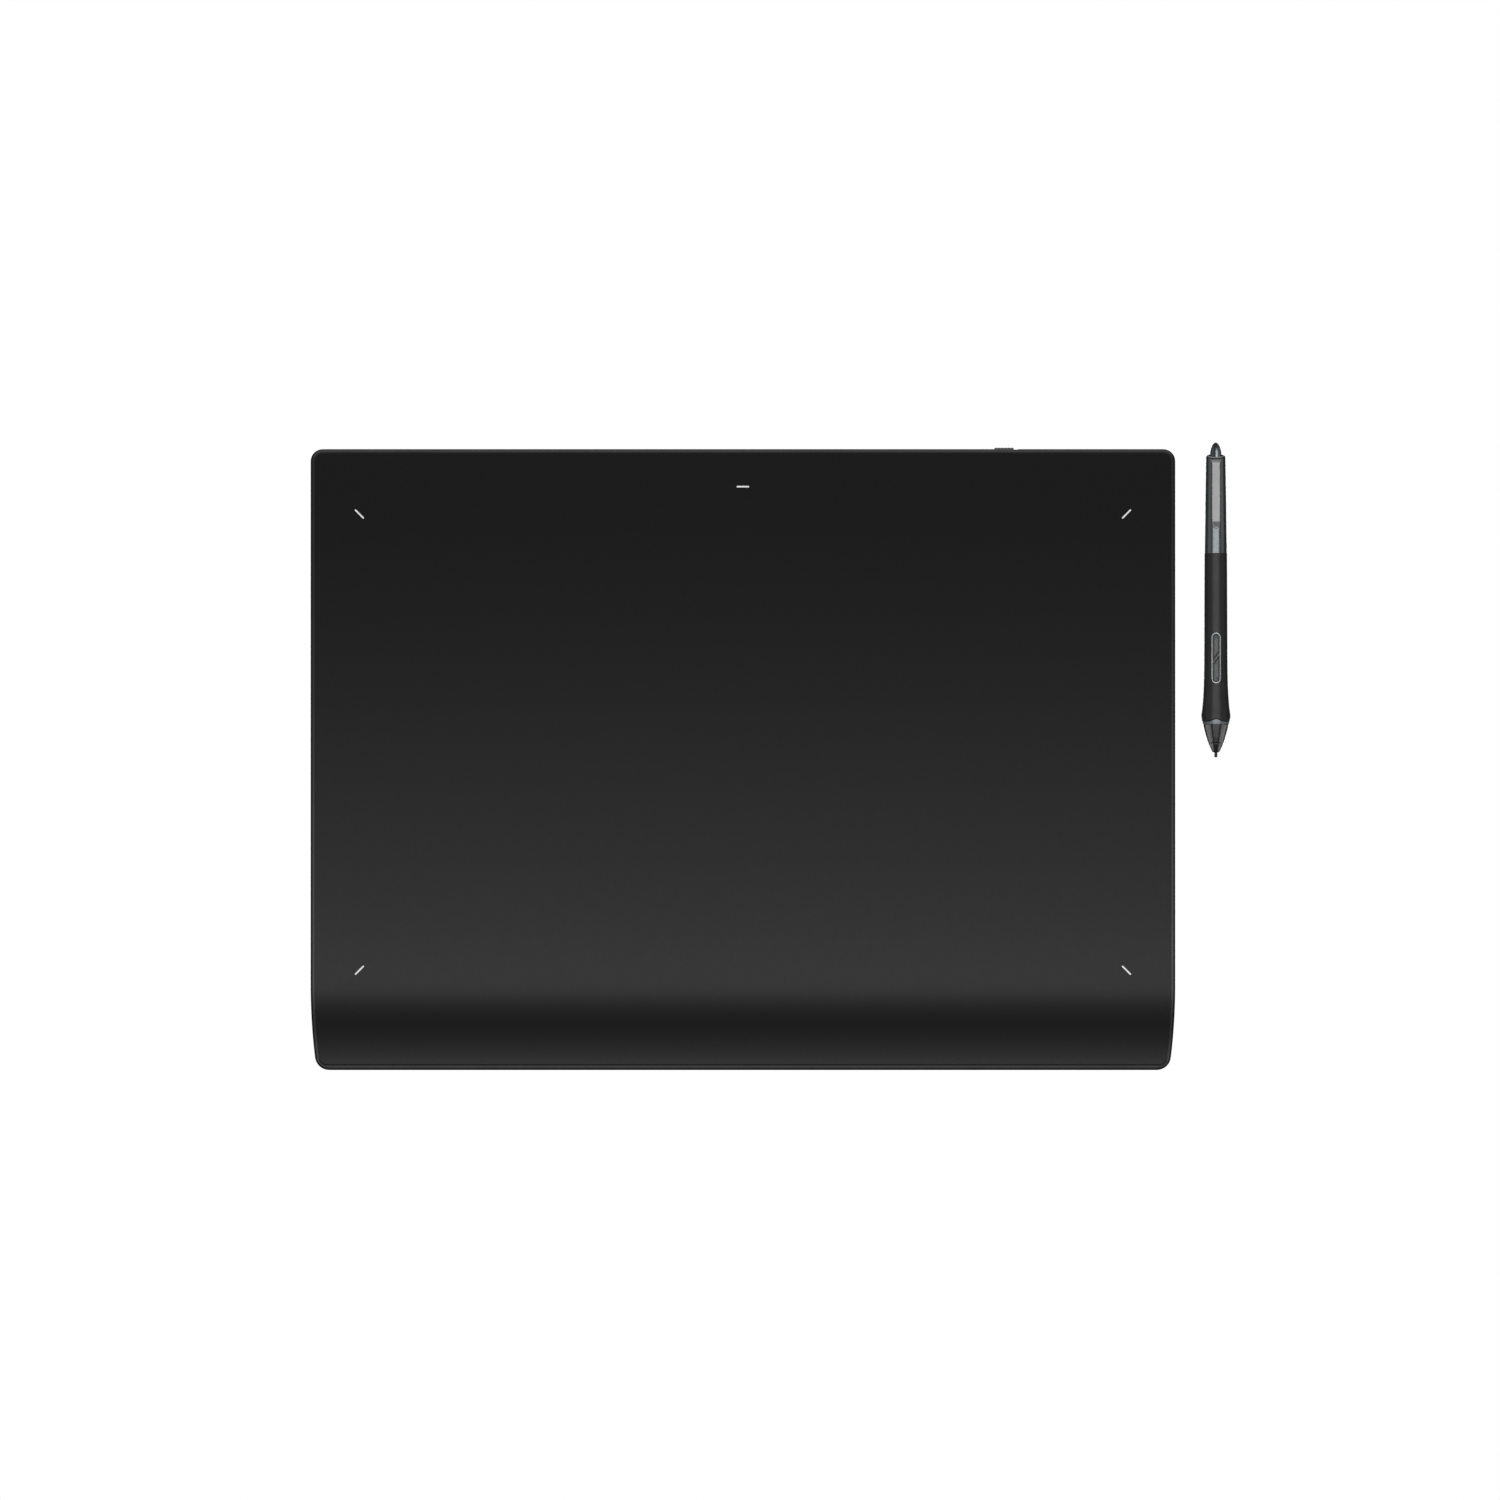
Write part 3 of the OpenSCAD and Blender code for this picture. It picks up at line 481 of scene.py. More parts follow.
def racetrack(length, width, steps=12):
    """Outline of a strip with round ends, its length along the second axis."""
    r = width / 2
    reach = length / 2 - r
    upper = [(r * math.cos(a), reach + r * math.sin(a)) for a in spread(0, math.pi, steps)]
    lower = [(-x, -y) for x, y in upper]
    return upper + lower


def cos_sin(degrees):
    return math.cos(math.radians(degrees)), math.sin(math.radians(degrees))


def turned(points, degrees, at):
    """An outline turned about the origin, then moved to at."""
    c, s = cos_sin(degrees)
    return [(at[0] + c * x - s * y, at[1] + s * x + c * y) for x, y in points]


def prism(name, outline, low, high, place=ON_DESK):
    """A plain prism, used only to cut with."""
    rings = [[(x, y, z) for x, y in outline] for z in (low, high)]
    return mesh_object(name, loft(rings, one_face, one_face), place)


# ---- tablet shells ----

ROLL_STEPS = 36
CORNER_STEPS = 8


def surface_z(y):
    """Height of the work surface: flat, then rolling down towards the front."""
    into = max(0.0, ROLL_Y - y)
    return ROLL_Z + math.sqrt(ROLL_RADIUS ** 2 - into ** 2)


def half_plan(side, rear, front, r_rear, r_front):
    """Right half of a rounded rectangle, from the front's middle to the rear's, with normals."""
    half = [((0, -front), (0, -1)), ((side * 0.5, -front), (0, -1))]
    for a in spread(-90, 0, CORNER_STEPS):
        c, s = cos_sin(a)
        half.append(((side - r_front + r_front * c, -front + r_front + r_front * s), (c, s)))
    for y in spread(-front + r_front, ROLL_Y, ROLL_STEPS)[1:] + [0.0, rear / 2]:
        half.append(((side, y), (1, 0)))
    for a in spread(0, 90, CORNER_STEPS):
        c, s = cos_sin(a)
        half.append(((side - r_rear + r_rear * c, rear - r_rear + r_rear * s), (c, s)))
    half += [((side * 0.5, rear), (0, 1)), ((0, rear), (0, 1))]
    return half


def plan(side, rear, front, r_rear, r_front):
    """The whole rounded rectangle as (point, outward normal) pairs; its halves mirror each other."""
    half = half_plan(side, rear, front, r_rear, r_front)
    other = [((-x, y), (-nx, ny)) for (x, y), (nx, ny) in reversed(half)]
    nudge = 0.02
    half[0] = ((nudge, half[0][0][1]), half[0][1])
    half[-1] = ((nudge, half[-1][0][1]), half[-1][1])
    other[0] = ((-nudge, other[0][0][1]), other[0][1])
    other[-1] = ((-nudge, other[-1][0][1]), other[-1][1])
    return half + other


# the wall's foot, at height zero: the wall leans outwards all the way up from it
FOOT = plan(HALF_W - EDGE_Z * WALL_LEAN, HALF_D - EDGE_Z * WALL_LEAN, HALF_D - FRONT_EDGE_Z * WALL_LEAN,
            CORNER_R - EDGE_Z * WALL_LEAN, FRONT_CORNER_R - FRONT_EDGE_Z * WALL_LEAN)
FRONT_DROP = surface_z(-HALF_D) - FRONT_EDGE_Z


def on_wall(point, normal, z):
    """A point of the leaning wall at height z."""
    return point[0] + normal[0] * WALL_LEAN * z, point[1] + normal[1] * WALL_LEAN * z


def edge_point(point, normal):
    """The wall's outermost point, where it meets the slope up to the rim."""
    z = EDGE_Z
    for _ in range(8):
        x, y = on_wall(point, normal, z)
        z = min(EDGE_Z, surface_z(y) - FRONT_DROP)
    return x, y, z


def shell_ring(inset, rise):
    """A ring of the shell's rim, inset from its outermost line, which is rise 0, to the surface, 1."""
    ring = []
    for point, normal in FOOT:
        x, y, z = edge_point(point, normal)
        x, y = x - normal[0] * inset, y - normal[1] * inset
        ring.append((x, y, z + (surface_z(y) - z) * rise))
    return ring


def wall_ring(share, inset=0.0):
    """A ring on the leaning wall, from the floor (share 0) up to the outermost line (share 1)."""
    ring = []
    for point, normal in FOOT:
        z = FLOOR_Z + (edge_point(point, normal)[2] - FLOOR_Z) * share
        x, y = on_wall(point, normal, z)
        ring.append((x - normal[0] * inset, y - normal[1] * inset, z))
    return ring


def flat_ring(side, rear, front, radius, depth=None, z=None):
    """A ring of an inner step: depth below the surface, or at height z."""
    return [(x, y, z if z is not None else surface_z(y) - depth)
            for (x, y), _ in plan(side, rear, front, radius, radius)]


FRONT_SURFACE_Z = surface_z(FRONT_RIM_W - HALF_D)
RIM_EDGE = plan(HALF_W - RIM_W - WALL_LEAN * TOP_Z, HALF_D - RIM_W - WALL_LEAN * TOP_Z,
                HALF_D - FRONT_RIM_W - WALL_LEAN * FRONT_SURFACE_Z, CORNER_R - RIM_W - WALL_LEAN * TOP_Z,
                FRONT_CORNER_R - FRONT_RIM_W - WALL_LEAN * FRONT_SURFACE_Z)


def rim_edge_ring(grow, depth):
    """A ring along the rim's inner edge, which draws in with the walls towards the front."""
    ring = []
    for point, normal in RIM_EDGE:
        z = TOP_Z
        for _ in range(8):
            x, y = on_wall(point, normal, z)
            z = surface_z(y)
        ring.append((x + normal[0] * grow, y + normal[1] * grow, z - depth))
    return ring


def light_marks():
    """The five light marks as (place, turn, length, width), read from the CAD boxes."""
    low, high = box_mm("corner_light_guides")
    length, width = 6.2, 0.8
    # a mark's middle lies this far in from the CAD box, whose guides have a flange round their foot
    flange = 2.0
    reach = ((length - width) * math.sqrt(0.5) + width + flange) / 2
    marks = []
    for sx in (-1, 1):
        for sy in (-1, 1):
            x = high.x - reach if sx > 0 else low.x + reach
            y = high.y - reach if sy > 0 else low.y + reach
            marks.append(((x, y), -45 if sx * sy > 0 else 45, length, width))
    low, high = box_mm("status_light_guide")
    marks.append((((low.x + high.x) / 2, (low.y + high.y) / 2), 90, length, width))
    return marks


def build_work_surface():
    bevel = 0.18
    rings = [rim_edge_ring(-0.05, PANEL_T), rim_edge_ring(-0.02, bevel)]
    for a in spread(0, 90, 3)[1:]:
        c, s = cos_sin(a)
        rings.append(rim_edge_ring(-0.02 - bevel * (1 - c), bevel * (1 - s)))
    panel = mesh_object("work_surface_panel", loft(rings, ladder, ladder))
    # heights well under and well over the panel
    under, over = 2, 12
    cutters = []
    for i, (place, turn, length, width) in enumerate(light_marks()):
        outline = racetrack(length + 2 * MARK_GAP, width + 2 * MARK_GAP)
        cutters.append(prism(f"cut_mark_{i}", turned(outline, turn, place), under, over))
    carve(panel, *cutters)
    weigh_normals(panel)
    return installed(panel, "work_surface")


def cover_outside():
    """Rings up the outside of the rear cover: floor, rounded foot, leaning wall and rounded rim."""
    foot_fillet, rim_fillet = 0.8, 1.62
    rings = [wall_ring(0, foot_fillet + 0.6), wall_ring(0, foot_fillet)]
    for a in spread(0, 90, 4)[1:-1]:
        c, s = cos_sin(a)
        lift = foot_fillet * (1 - c)
        rings.append([(x, y, z + lift) for x, y, z in wall_ring(0, foot_fillet * (1 - s))])
    rings += [wall_ring(share) for share in (0.3, 0.65, 1)]
    for a in spread(0, 90, 8)[1:]:
        c, s = cos_sin(a)
        rings.append(shell_ring(rim_fillet * (1 - c), s))
    return rings


def cover_inside():
    """Rings down the inside of the rear cover: lip, seat of the panel, seat of the frame and floor."""
    lip, radius = 0.08, 1.5
    seat = (HALF_W - 4.25, HALF_D - 4.25, HALF_D - 5, radius)
    well = (HALF_W - 8.25, HALF_D - 7.25, HALF_D - 16.25, radius)
    seat_depth = PANEL_T + 1.2
    return [
        rim_edge_ring(PANEL_GAP + lip, 0),
        rim_edge_ring(PANEL_GAP, lip),
        rim_edge_ring(PANEL_GAP, PANEL_T),
        flat_ring(*seat, PANEL_T),
        flat_ring(*seat, seat_depth),
        flat_ring(*well, seat_depth),
        flat_ring(*well, z=FLOOR_Z + 1)]


# how deep the feet are sunk into the floor
FOOT_SINK = 0.3


def foot_cutters():
    play = 0.3
    cutters = []
    for i, (x, y, length, width) in enumerate(foot_places()):
        outline = turned(racetrack(length + play, width + play), 90, (x, y))
        cutters.append(prism(f"cut_foot_{i}", outline, -1, FLOOR_Z + FOOT_SINK))
    return cutters


def wall_cutter(name, outline):
    """A prism that runs out through the rear wall; its outline is in (across, height)."""
    lying = ON_DESK @ Matrix(((1, 0, 0, 0), (0, 0, 1, 0), (0, 1, 0, 0), (0, 0, 0, 1)))
    return prism(name, outline, HALF_D - 9, HALF_D + 2, lying)


def socket_cutter():
    play = 0.5
    low, high = box_mm("usb_c_shell")
    mouth = racetrack(high.x - low.x + play, high.z - low.z + play)
    middle = ((low.x + high.x) / 2, (low.z + high.z) / 2)
    return wall_cutter("cut_usb", turned(mouth, 90, middle))


def slider_cutters():
    """The slot for the slider's stem and the notch for its thumb piece, both longer by its travel."""
    low, high = box_mm("power_slider")
    travel = joint("power_slider_slide")["range_m"][1] / MM
    # the slider is wider than the slot by this much at each end, inside the wall
    shoulder = 2.3
    play = 0.15
    left, right = low.x + shoulder - play, high.x - shoulder + travel + play
    slot = [(left, 2.85), (right, 2.85), (right, 5.55), (left, 5.55)]
    notch = [(left, HALF_D - 0.7), (right, HALF_D - 0.7), (right, HALF_D + 2), (left, HALF_D + 2)]
    return [wall_cutter("cut_slider", slot), prism("cut_notch", notch, 7.05, TOP_Z + 1)]


def build_rear_cover():
    shell = mesh_object("rear_cover_shell", loft(cover_outside() + cover_inside(), ladder, ladder))
    carve(shell, *foot_cutters(), socket_cutter(), *slider_cutters())
    weigh_normals(shell)
    return installed(shell, "rear_cover")


def foot_places():
    """(x, y, length, width) of each strip foot, from the CAD boxes."""
    low, high = box_mm("centre_foot")
    length, width = high.x - low.x, high.y - low.y
    places = [((low.x + high.x) / 2, (low.y + high.y) / 2, length, width)]
    for node in ("front_feet", "rear_feet"):
        low, high = box_mm(node)
        y = (low.y + high.y) / 2
        places += [(low.x + length / 2, y, length, width), (high.x - length / 2, y, length, width)]
    return places


def foot_shape(places):
    """Strip feet with rounded lower edges."""
    points, faces = [], []
    top = FLOOR_Z + FOOT_SINK
    fillet = 0.35
    for cx, cy, length, width in places:
        rings = []
        for inset, z in ((0, top), (0, fillet), (0.1, 0.1), (fillet, 0)):
            outline = racetrack(length - 2 * inset, width - 2 * inset)
            rings.append([(x, y, z) for x, y in turned(outline, 90, (cx, cy))])
        more_points, more_faces = loft(rings, one_face, one_face)
        faces += [tuple(i + len(points) for i in face) for face in more_faces]
        points += more_points
    return points, faces


def build_feet():
    places = foot_places()
    for name, node, chosen in (("centre_foot_strip", "centre_foot", places[:1]),
                               ("front_foot_strips", "front_feet", places[1:3]),
                               ("rear_foot_strips", "rear_feet", places[3:5])):
        obj = mesh_object(name, foot_shape(chosen))
        weigh_normals(obj)
        installed(obj, node)


# ---- pen ----

def lathe(profile, count=128, warp=None, closed=False):
    """Turns (distance, radius) points about the pen's axis; the first angle faces the keys' side.

    warp(k, distance, radius, angle) may move the points of row k.
    """
    points, faces, rows = [], [], []
    for k, (s, r) in enumerate(profile):
        if r < 1e-6:
            rows.append([len(points)] * count)
            points.append((0, s, 0))
            continue
        row = []
        for i in range(count):
            a = 2 * math.pi * i / count
            ss, rr = warp(k, s, r, a) if warp else (s, r)
            row.append(len(points))
            points.append((rr * math.sin(a), ss, rr * math.cos(a)))
        rows.append(row)
    pairs = list(zip(rows, rows[1:]))
    if closed:
        pairs.append((rows[-1], rows[0]))
    for a, b in pairs:
        for i in range(count):
            j = (i + 1) % count
            face = []
            for v in (a[i], a[j], b[j], b[i]):
                if v not in face:
                    face.append(v)
            if len(face) > 2:
                faces.append(tuple(face))
    return points, faces


def smooth_line(knots, step=1.2):
    """Points along a smooth curve through the (distance, radius) knots."""
    line = []
    for k in range(len(knots) - 1):
        p0 = knots[max(k - 1, 0)]
        p1, p2 = knots[k], knots[k + 1]
        p3 = knots[min(k + 2, len(knots) - 1)]
        count = max(2, int(math.hypot(p2[0] - p1[0], p2[1] - p1[1]) / step))
        for i in range(count):
            t = i / count
            line.append(tuple(
                0.5 * (2 * p1[d] + (p2[d] - p0[d]) * t
                       + (2 * p0[d] - 5 * p1[d] + 4 * p2[d] - p3[d]) * t ** 2
                       + (3 * p1[d] - p0[d] - 3 * p2[d] + p3[d]) * t ** 3)
                for d in (0, 1)))
    return line + [tuple(knots[-1])]


def radius_on(line, s):
    """Radius of a profile at a distance from the nib's tip."""
    for (s0, r0), (s1, r1) in zip(line, line[1:]):
        if s0 <= s <= s1:
            return r0 + (r1 - r0) * (s - s0) / max(s1 - s0, 1e-9)
    return line[0][1] if s < line[0][0] else line[-1][1]


# distances from the nib's tip: the ring's end, the joint of the two barrels and the barrel's end
RING_END, SEAM, TAIL = 17.7, 101.4, 151.25
ARCH_HEIGHT, ARCH_REACH, ARCH_R = 1.2, 3.8, 6.9
# the key window: length, width, the middle's distance from the nib's tip and the width of its rim
KEY_RIM_L, KEY_RIM_W, KEY_S, RIM_BAND = 25.6, 5.2, 49.3, 0.9
DIVIDER_TURN, DIVIDER_W, KEY_GAP = 52.0, 0.9, 0.3
# a key's middle and dimple, from the window's middle, and its crown's height over the grip
KEY_MIDDLE, DIMPLE, KEY_CROWN = 6.6, 10.1, 0.33
GRIP = [(16.45, 6.42), (17.7, 6.73), (19.0, 7.03), (20.15, 7.22), (20.45, 7.25), (20.75, 7.24)]
GRIP += smooth_line([(21.3, 7.2), (22.7, 6.98), (24.4, 6.77), (26.6, 6.57), (30.6, 6.26), (34.6, 6.05),
                     (38.6, 5.93), (44, 5.83), (52, 5.77), (70, 5.72), (86, 5.66), (101.4, 5.6)])
UPPER = smooth_line([(101.4, 5.54), (113, 5.36), (128, 5.17), (143, 4.95), (149.5, 4.85)], 2)


def arch(a):
    """Rise of the wave-shaped tongue in the accent ring at angle a."""
    x = abs(ARCH_R * math.sin(a))
    if x >= ARCH_REACH or math.cos(a) < 0:
        return 0.0
    return ARCH_HEIGHT * math.cos(math.pi * x / ARCH_REACH / 2) ** 2


def build_nib():
    profile = [(0, 0), (0.02, 0.22), (0.09, 0.42), (0.22, 0.6), (0.42, 0.72), (0.75, 0.79), (1.1, 0.8),
               (1.6, 0.74), (2.2, 0.7), (6, 0.72), (9, 0.8), (25.5, 0.8), (25.5, 0)]
    return installed(mesh_object("pen_nib_point", lathe(profile, 64), ON_PEN), "pen_nib")


def build_nose():
    tip = [(9, 0.95), (2.6, 0.95), (2.47, 1.1), (2.5, 1.35), (2.62, 1.6)]
    tip += smooth_line([(2.85, 1.8), (3.8, 2.33), (4.8, 2.75), (5.8, 3.2), (6.9, 3.62)], 0.5)
    tip += [(7.02, 3.62), (7.1, 3.5), (7.1, 2.9), (9, 2.9)]
    installed(mesh_object("nose_tip_shell", lathe(tip, 96, closed=True), ON_PEN), "nose_tip")
    cone = [(9.05, 2.92), (7.12, 2.92), (7.12, 3.66), (7.18, 3.8)]
    cone += smooth_line([(7.3, 3.9), (8.75, 4.33), (9.75, 4.65), (11.7, 5.2), (13.7, 5.73),
                         (15.7, 6.2), (16.3, 6.32)], 0.6)
    cone += [(16.4, 6.3), (16.45, 6.2), (16.45, 5.2), (21, 5.2), (21, 3.2), (9.05, 3.2)]
    installed(mesh_object("nose_cone_shell", lathe(cone, 128, closed=True), ON_PEN), "nose_cone")


def build_accent_ring():
    rows = [(16.47, 5.22), (16.47, 6.3), (16.55, 6.4)]
    first = len(rows)
    across = 8
    rows += [(s, radius_on(GRIP, s) - 0.03) for s in spread(16.7, RING_END - 0.12, across)]
    rows += [(RING_END - 0.04, 6.66), (RING_END, 6.5), (RING_END, 5.22)]

    def warp(k, s, r, a):
        share = min(1.0, max(0.0, (k - first) / across))
        lifted = s + arch(a) * share
        if share > 0 and r > 6.3:
            r += radius_on(GRIP, lifted) - radius_on(GRIP, s)
        return lifted, r

    ring = mesh_object("accent_ring_band", lathe(rows, 192, warp, True), ON_PEN)
    return installed(ring, "accent_ring")


def build_grip():
    """The grip barrel. Its front edge follows the ring's tongue, and that fades out along the grip."""
    bore = 4.4
    rows = [(21.05, 5.24), (RING_END + 0.02, 5.24)]
    first = len(rows)
    rows += [(RING_END + gap, r) for gap, r in ((0.02, 6.3), (0.08, 6.52), (0.2, 6.7), (0.4, 6.82))]
    rows += [(s, r) for s, r in GRIP if RING_END + 0.6 < s < SEAM - 0.5]
    rows += [(SEAM - 0.12, 5.6), (SEAM - 0.03, 5.57), (SEAM, 5.5), (SEAM, bore), (21.05, bore)]

    def warp(k, s, r, a):
        fade = max(0.0, 1 - max(0.0, s - RING_END - 0.1) / 4.5)
        lifted = s + arch(a) * fade ** 1.3
        if k >= first:
            r += radius_on(GRIP, lifted) - radius_on(GRIP, s)
        return lifted, r

    grip = mesh_object("grip_barrel_shell", lathe(rows, 192, warp, True), ON_PEN)
    play = 0.03
    window = [(x, y + KEY_S) for x, y in racetrack(KEY_RIM_L + 2 * play, KEY_RIM_W + 2 * play, 20)]
    carve(grip, prism("cut_keys", window, 0, 10, ON_PEN))
    return installed(grip, "grip_barrel")


def build_upper_barrel():
    """The upper barrel. Its tail is cut at a slant, so its rows there lean with the angle."""
    slant = math.tan(math.radians(13.5))
    tail_r = 4.85
    rows = [(112, 4.4), (SEAM, 4.4), (SEAM, 5.42), (SEAM + 0.03, 5.5)]
    rows += [(s, r) for s, r in UPPER if SEAM + 0.1 < s < 143.5]
    first_slanted = len(rows)
    start = 143.5
    rows += [(s, radius_on(UPPER, s)) for s in spread(start, 149.4, 8)]
    rows += [(150.1, 4.82), (150.45, 4.75), (150.7, 4.62), (150.95, 4.38), (151.1, 4.16), (151.2, 3.9)]
    rows += [(TAIL, 3.62), (TAIL - 0.02, 3.42), (TAIL - 0.14, 3.3)]
    end_slanted = len(rows)
    rows += [(147, 3.3), (147, 3.95), (112, 3.95)]

    def warp(k, s, r, a):
        if not first_slanted <= k < end_slanted:
            return s, r
        cut = (tail_r + r * math.cos(a)) * slant
        return s - cut * (s - start) / (TAIL - start), r

    barrel = mesh_object("upper_barrel_shell", lathe(rows, 160, warp, True), ON_PEN)
    seat = [(-1.35, 145.6), (1.35, 145.6), (1.35, 147.8), (-1.35, 147.8)]
    carve(barrel, prism("cut_clip_seat", seat, 4.05, 8, ON_PEN))
    return installed(barrel, "upper_barrel")


def build_eraser():
    profile = [(145.6, 0), (145.6, 3.75), (145.65, 3.8), (146.85, 3.8), (146.9, 3.75), (146.9, 2.9)]
    profile += smooth_line([(150, 2.86), (151.5, 2.78), (152.5, 2.6), (153.5, 2.33), (154.5, 1.98),
                            (155, 1.75), (155.5, 1.44), (156, 1.0), (156.3, 0.62), (156.45, 0.3),
                            (156.5, 0)], 0.3)
    return installed(mesh_object("eraser_bullet", lathe(profile, 96), ON_PEN), "eraser_tip")


CLIP_TIP, CLIP_ROOT = 113.6, 148.2
# half width, top and underside of the clip along the pen
CLIP_HALF_W = [(113.6, 0.34), (113.8, 0.72), (114.2, 1.08), (114.8, 1.42), (115.6, 1.7), (116.6, 1.9),
               (118, 2.01), (132, 2.01), (144.6, 2.01), (145.6, 2.06), (146.4, 2.17), (147.2, 2.38),
               (147.8, 2.55), (148.2, 2.6)]
CLIP_TOP = [(113.6, 6.5), (113.75, 6.78), (114, 6.92), (114.4, 6.97), (132, 6.97), (146.2, 6.92),
            (146.6, 6.87), (148, 6.64), (148.2, 6.5)]
CLIP_LOW = [(113.6, 6.1), (114.6, 5.55), (115.8, 5.45), (117, 5.62), (118.6, 6.1), (132, 6.1),
            (144.4, 6.0), (145.4, 5.3), (146, 5.08), (148.2, 5.08)]
# depth of the hollow scooped out near the clip's tip
CLIP_SCOOP = [(113.6, 0), (114.3, 0.03), (117, 0.62), (117.05, 0.0), (148.2, 0)]


def clip_section(s):
    """Cross-section of the clip: a flat face between two low bevels, over a plain underside."""
    h = radius_on(CLIP_HALF_W, s)
    top, low = radius_on(CLIP_TOP, s), radius_on(CLIP_LOW, s)
    size = min(1.0, h / 1.2)
    face = top - 0.03 - radius_on(CLIP_SCOOP, s)
    half = [(h - 0.12, low), (h, low + 0.1), (h, top - 0.1), (h - 0.07 * size, top - 0.07),
            (h - 0.38 * size, top), (h - 0.42 * size, max(face, low + 0.1))]
    half = [(max(x, 0.02), z) for x, z in half]
    return [(x, s, z) for x, z in half] + [(-x, s, z) for x, z in reversed(half)]


def build_clip():
    stations = spread(CLIP_TIP, 117, 22) + [117.05]
    stations += spread(117.6, 144, 10) + spread(144, CLIP_ROOT, 18)[1:]
    points, faces = loft([clip_section(s) for s in stations], one_face, one_face)
    low, high = 4.15, 5.4
    post = [[(x, s, z) for x, s in ((-1.25, 145.7), (1.25, 145.7), (1.25, 147.7), (-1.25, 147.7))]
            for z in (low, high)]
    post_points, post_faces = loft(post, one_face, one_face)
    faces += [tuple(i + len(points) for i in face) for face in post_faces]
    clip = mesh_object("pocket_clip", (points + post_points, faces), ON_PEN, 40)
    weigh_normals(clip)
    return installed(clip, "pen_clip")


def on_grip(x, s, above):
    """A point over the grip's surface, above it by a distance measured straight up."""
    r = radius_on(GRIP, s)
    return x, s, math.sqrt(max(r * r - x * x, 0)) + above


def build_bezel():
    """A rounded bright rim that follows the barrel."""
    outline = racetrack(KEY_RIM_L - RIM_BAND, KEY_RIM_W - RIM_BAND, 28)
    half, proud, deep = RIM_BAND / 2, 0.17, -1.2
    section = [(half, deep), (half, proud - 0.34), (half - 0.05, proud - 0.2),
               (half - 0.16, proud - 0.06), (half - 0.32, proud), (-half + 0.3, proud - 0.01),
               (-half + 0.15, proud - 0.07), (-half + 0.04, proud - 0.2), (-half, proud - 0.36),
               (-half, deep)]
    rings = []
    straight = KEY_RIM_L / 2 - KEY_RIM_W / 2
    for x, y in outline:
        n = Vector((x, y - max(-straight, min(straight, y)))).normalized()
        rings.append([on_grip(x + u * n.x, KEY_S + y + u * n.y, w) for u, w in section])
    # the last ring meets the first, and their points are merged
    rings.append(rings[0])
    bezel = mesh_object("key_bezel_rim", loft(rings), ON_PEN, 50)
    work = bmesh.new()
    work.from_mesh(bezel.data)
    bmesh.ops.remove_doubles(work, verts=work.verts, dist=1e-7)
    work.to_mesh(bezel.data)
    work.free()
    tidy_normals(bezel.data, 50)
    return installed(bezel, "key_bezel")


def build_divider():
    """The slanted wall between the two keys, a little lower than they are."""
    a = math.radians(DIVIDER_TURN)
    limit = (KEY_RIM_W - RIM_BAND) / 2
    corners = [(-limit, -1), (0, -1), (limit, -1), (limit, 1), (0, 1), (-limit, 1)]
    rings = []
    for half, above in ((DIVIDER_W / 2, -1.2), (DIVIDER_W / 2, 0.0), (DIVIDER_W / 2 - 0.12, 0.08)):
        skew = half / math.cos(a)
        rings.append([on_grip(x, KEY_S + x * math.tan(a) + sign * skew, above) for x, sign in corners])
    divider = mesh_object("key_divider", loft(rings, one_face, one_face), ON_PEN)
    installed(divider, "key_bezel")
    divider.data.materials[0] = LOOKS["key_plastic"]


def key_outline(side, inset):
    """Outline of one key: half the window, cut off by the slanted divider."""
    count = 120
    length, width = KEY_RIM_L - 2 * RIM_BAND - 0.3, KEY_RIM_W - 2 * RIM_BAND - 0.3
    a = math.radians(DIVIDER_TURN)
    across = (-math.sin(a), math.cos(a))
    gap = DIVIDER_W / 2 + KEY_GAP

    def outside(x, y):
        r = width / 2
        track = math.hypot(x, max(abs(y) - (length / 2 - r), 0)) - r
        divider = gap - side * (x * across[0] + y * across[1])
        return max(track, divider) + inset

    middle = side * KEY_MIDDLE
    outline = []
    for i in range(count):
        b = 2 * math.pi * i / count
        # angles crowd towards the key's two ends, so that its corners get enough points
        stretched = math.atan2(math.sin(b) * 4, math.cos(b))
        low, high = 0.0, 14.0
        for _ in range(40):
            mid = (low + high) / 2
            if outside(mid * math.cos(stretched), middle + mid * math.sin(stretched)) < 0:
                low = mid
            else:
                high = mid
        outline.append((low * math.cos(stretched), middle + low * math.sin(stretched)))
    return outline


def in_order(mesh):
    """Sorts the points and faces by place, since a key's cut returns them in another order each run."""
    points = [tuple(vertex.co) for vertex in mesh.vertices]
    order = sorted(range(len(points)), key=lambda i: points[i])
    rank = {i: k for k, i in enumerate(order)}
    faces = []
    for polygon in mesh.polygons:
        face = [rank[i] for i in polygon.vertices]
        first = face.index(min(face))
        faces.append(face[first:] + face[:first])
    mesh.clear_geometry()
    mesh.from_pydata([points[i] for i in order], [], sorted(faces))


def dimple_cutter(s):
    """A ball that dips into the key's crown at distance s along the pen."""
    ball_r, depth = 0.5, 0.62
    ball = bpy.data.meshes.new("cut_dimple")
    work = bmesh.new()
    bmesh.ops.create_uvsphere(work, u_segments=24, v_segments=16, radius=ball_r * MM)
    work.to_mesh(ball)
    work.free()
    cutter = added("cut_dimple", ball)
    crown_z = on_grip(0, s, KEY_CROWN)[2]
    cutter.location = ON_PEN @ Vector((0, s, crown_z + ball_r - depth))
    bpy.context.view_layer.update()
    return cutter


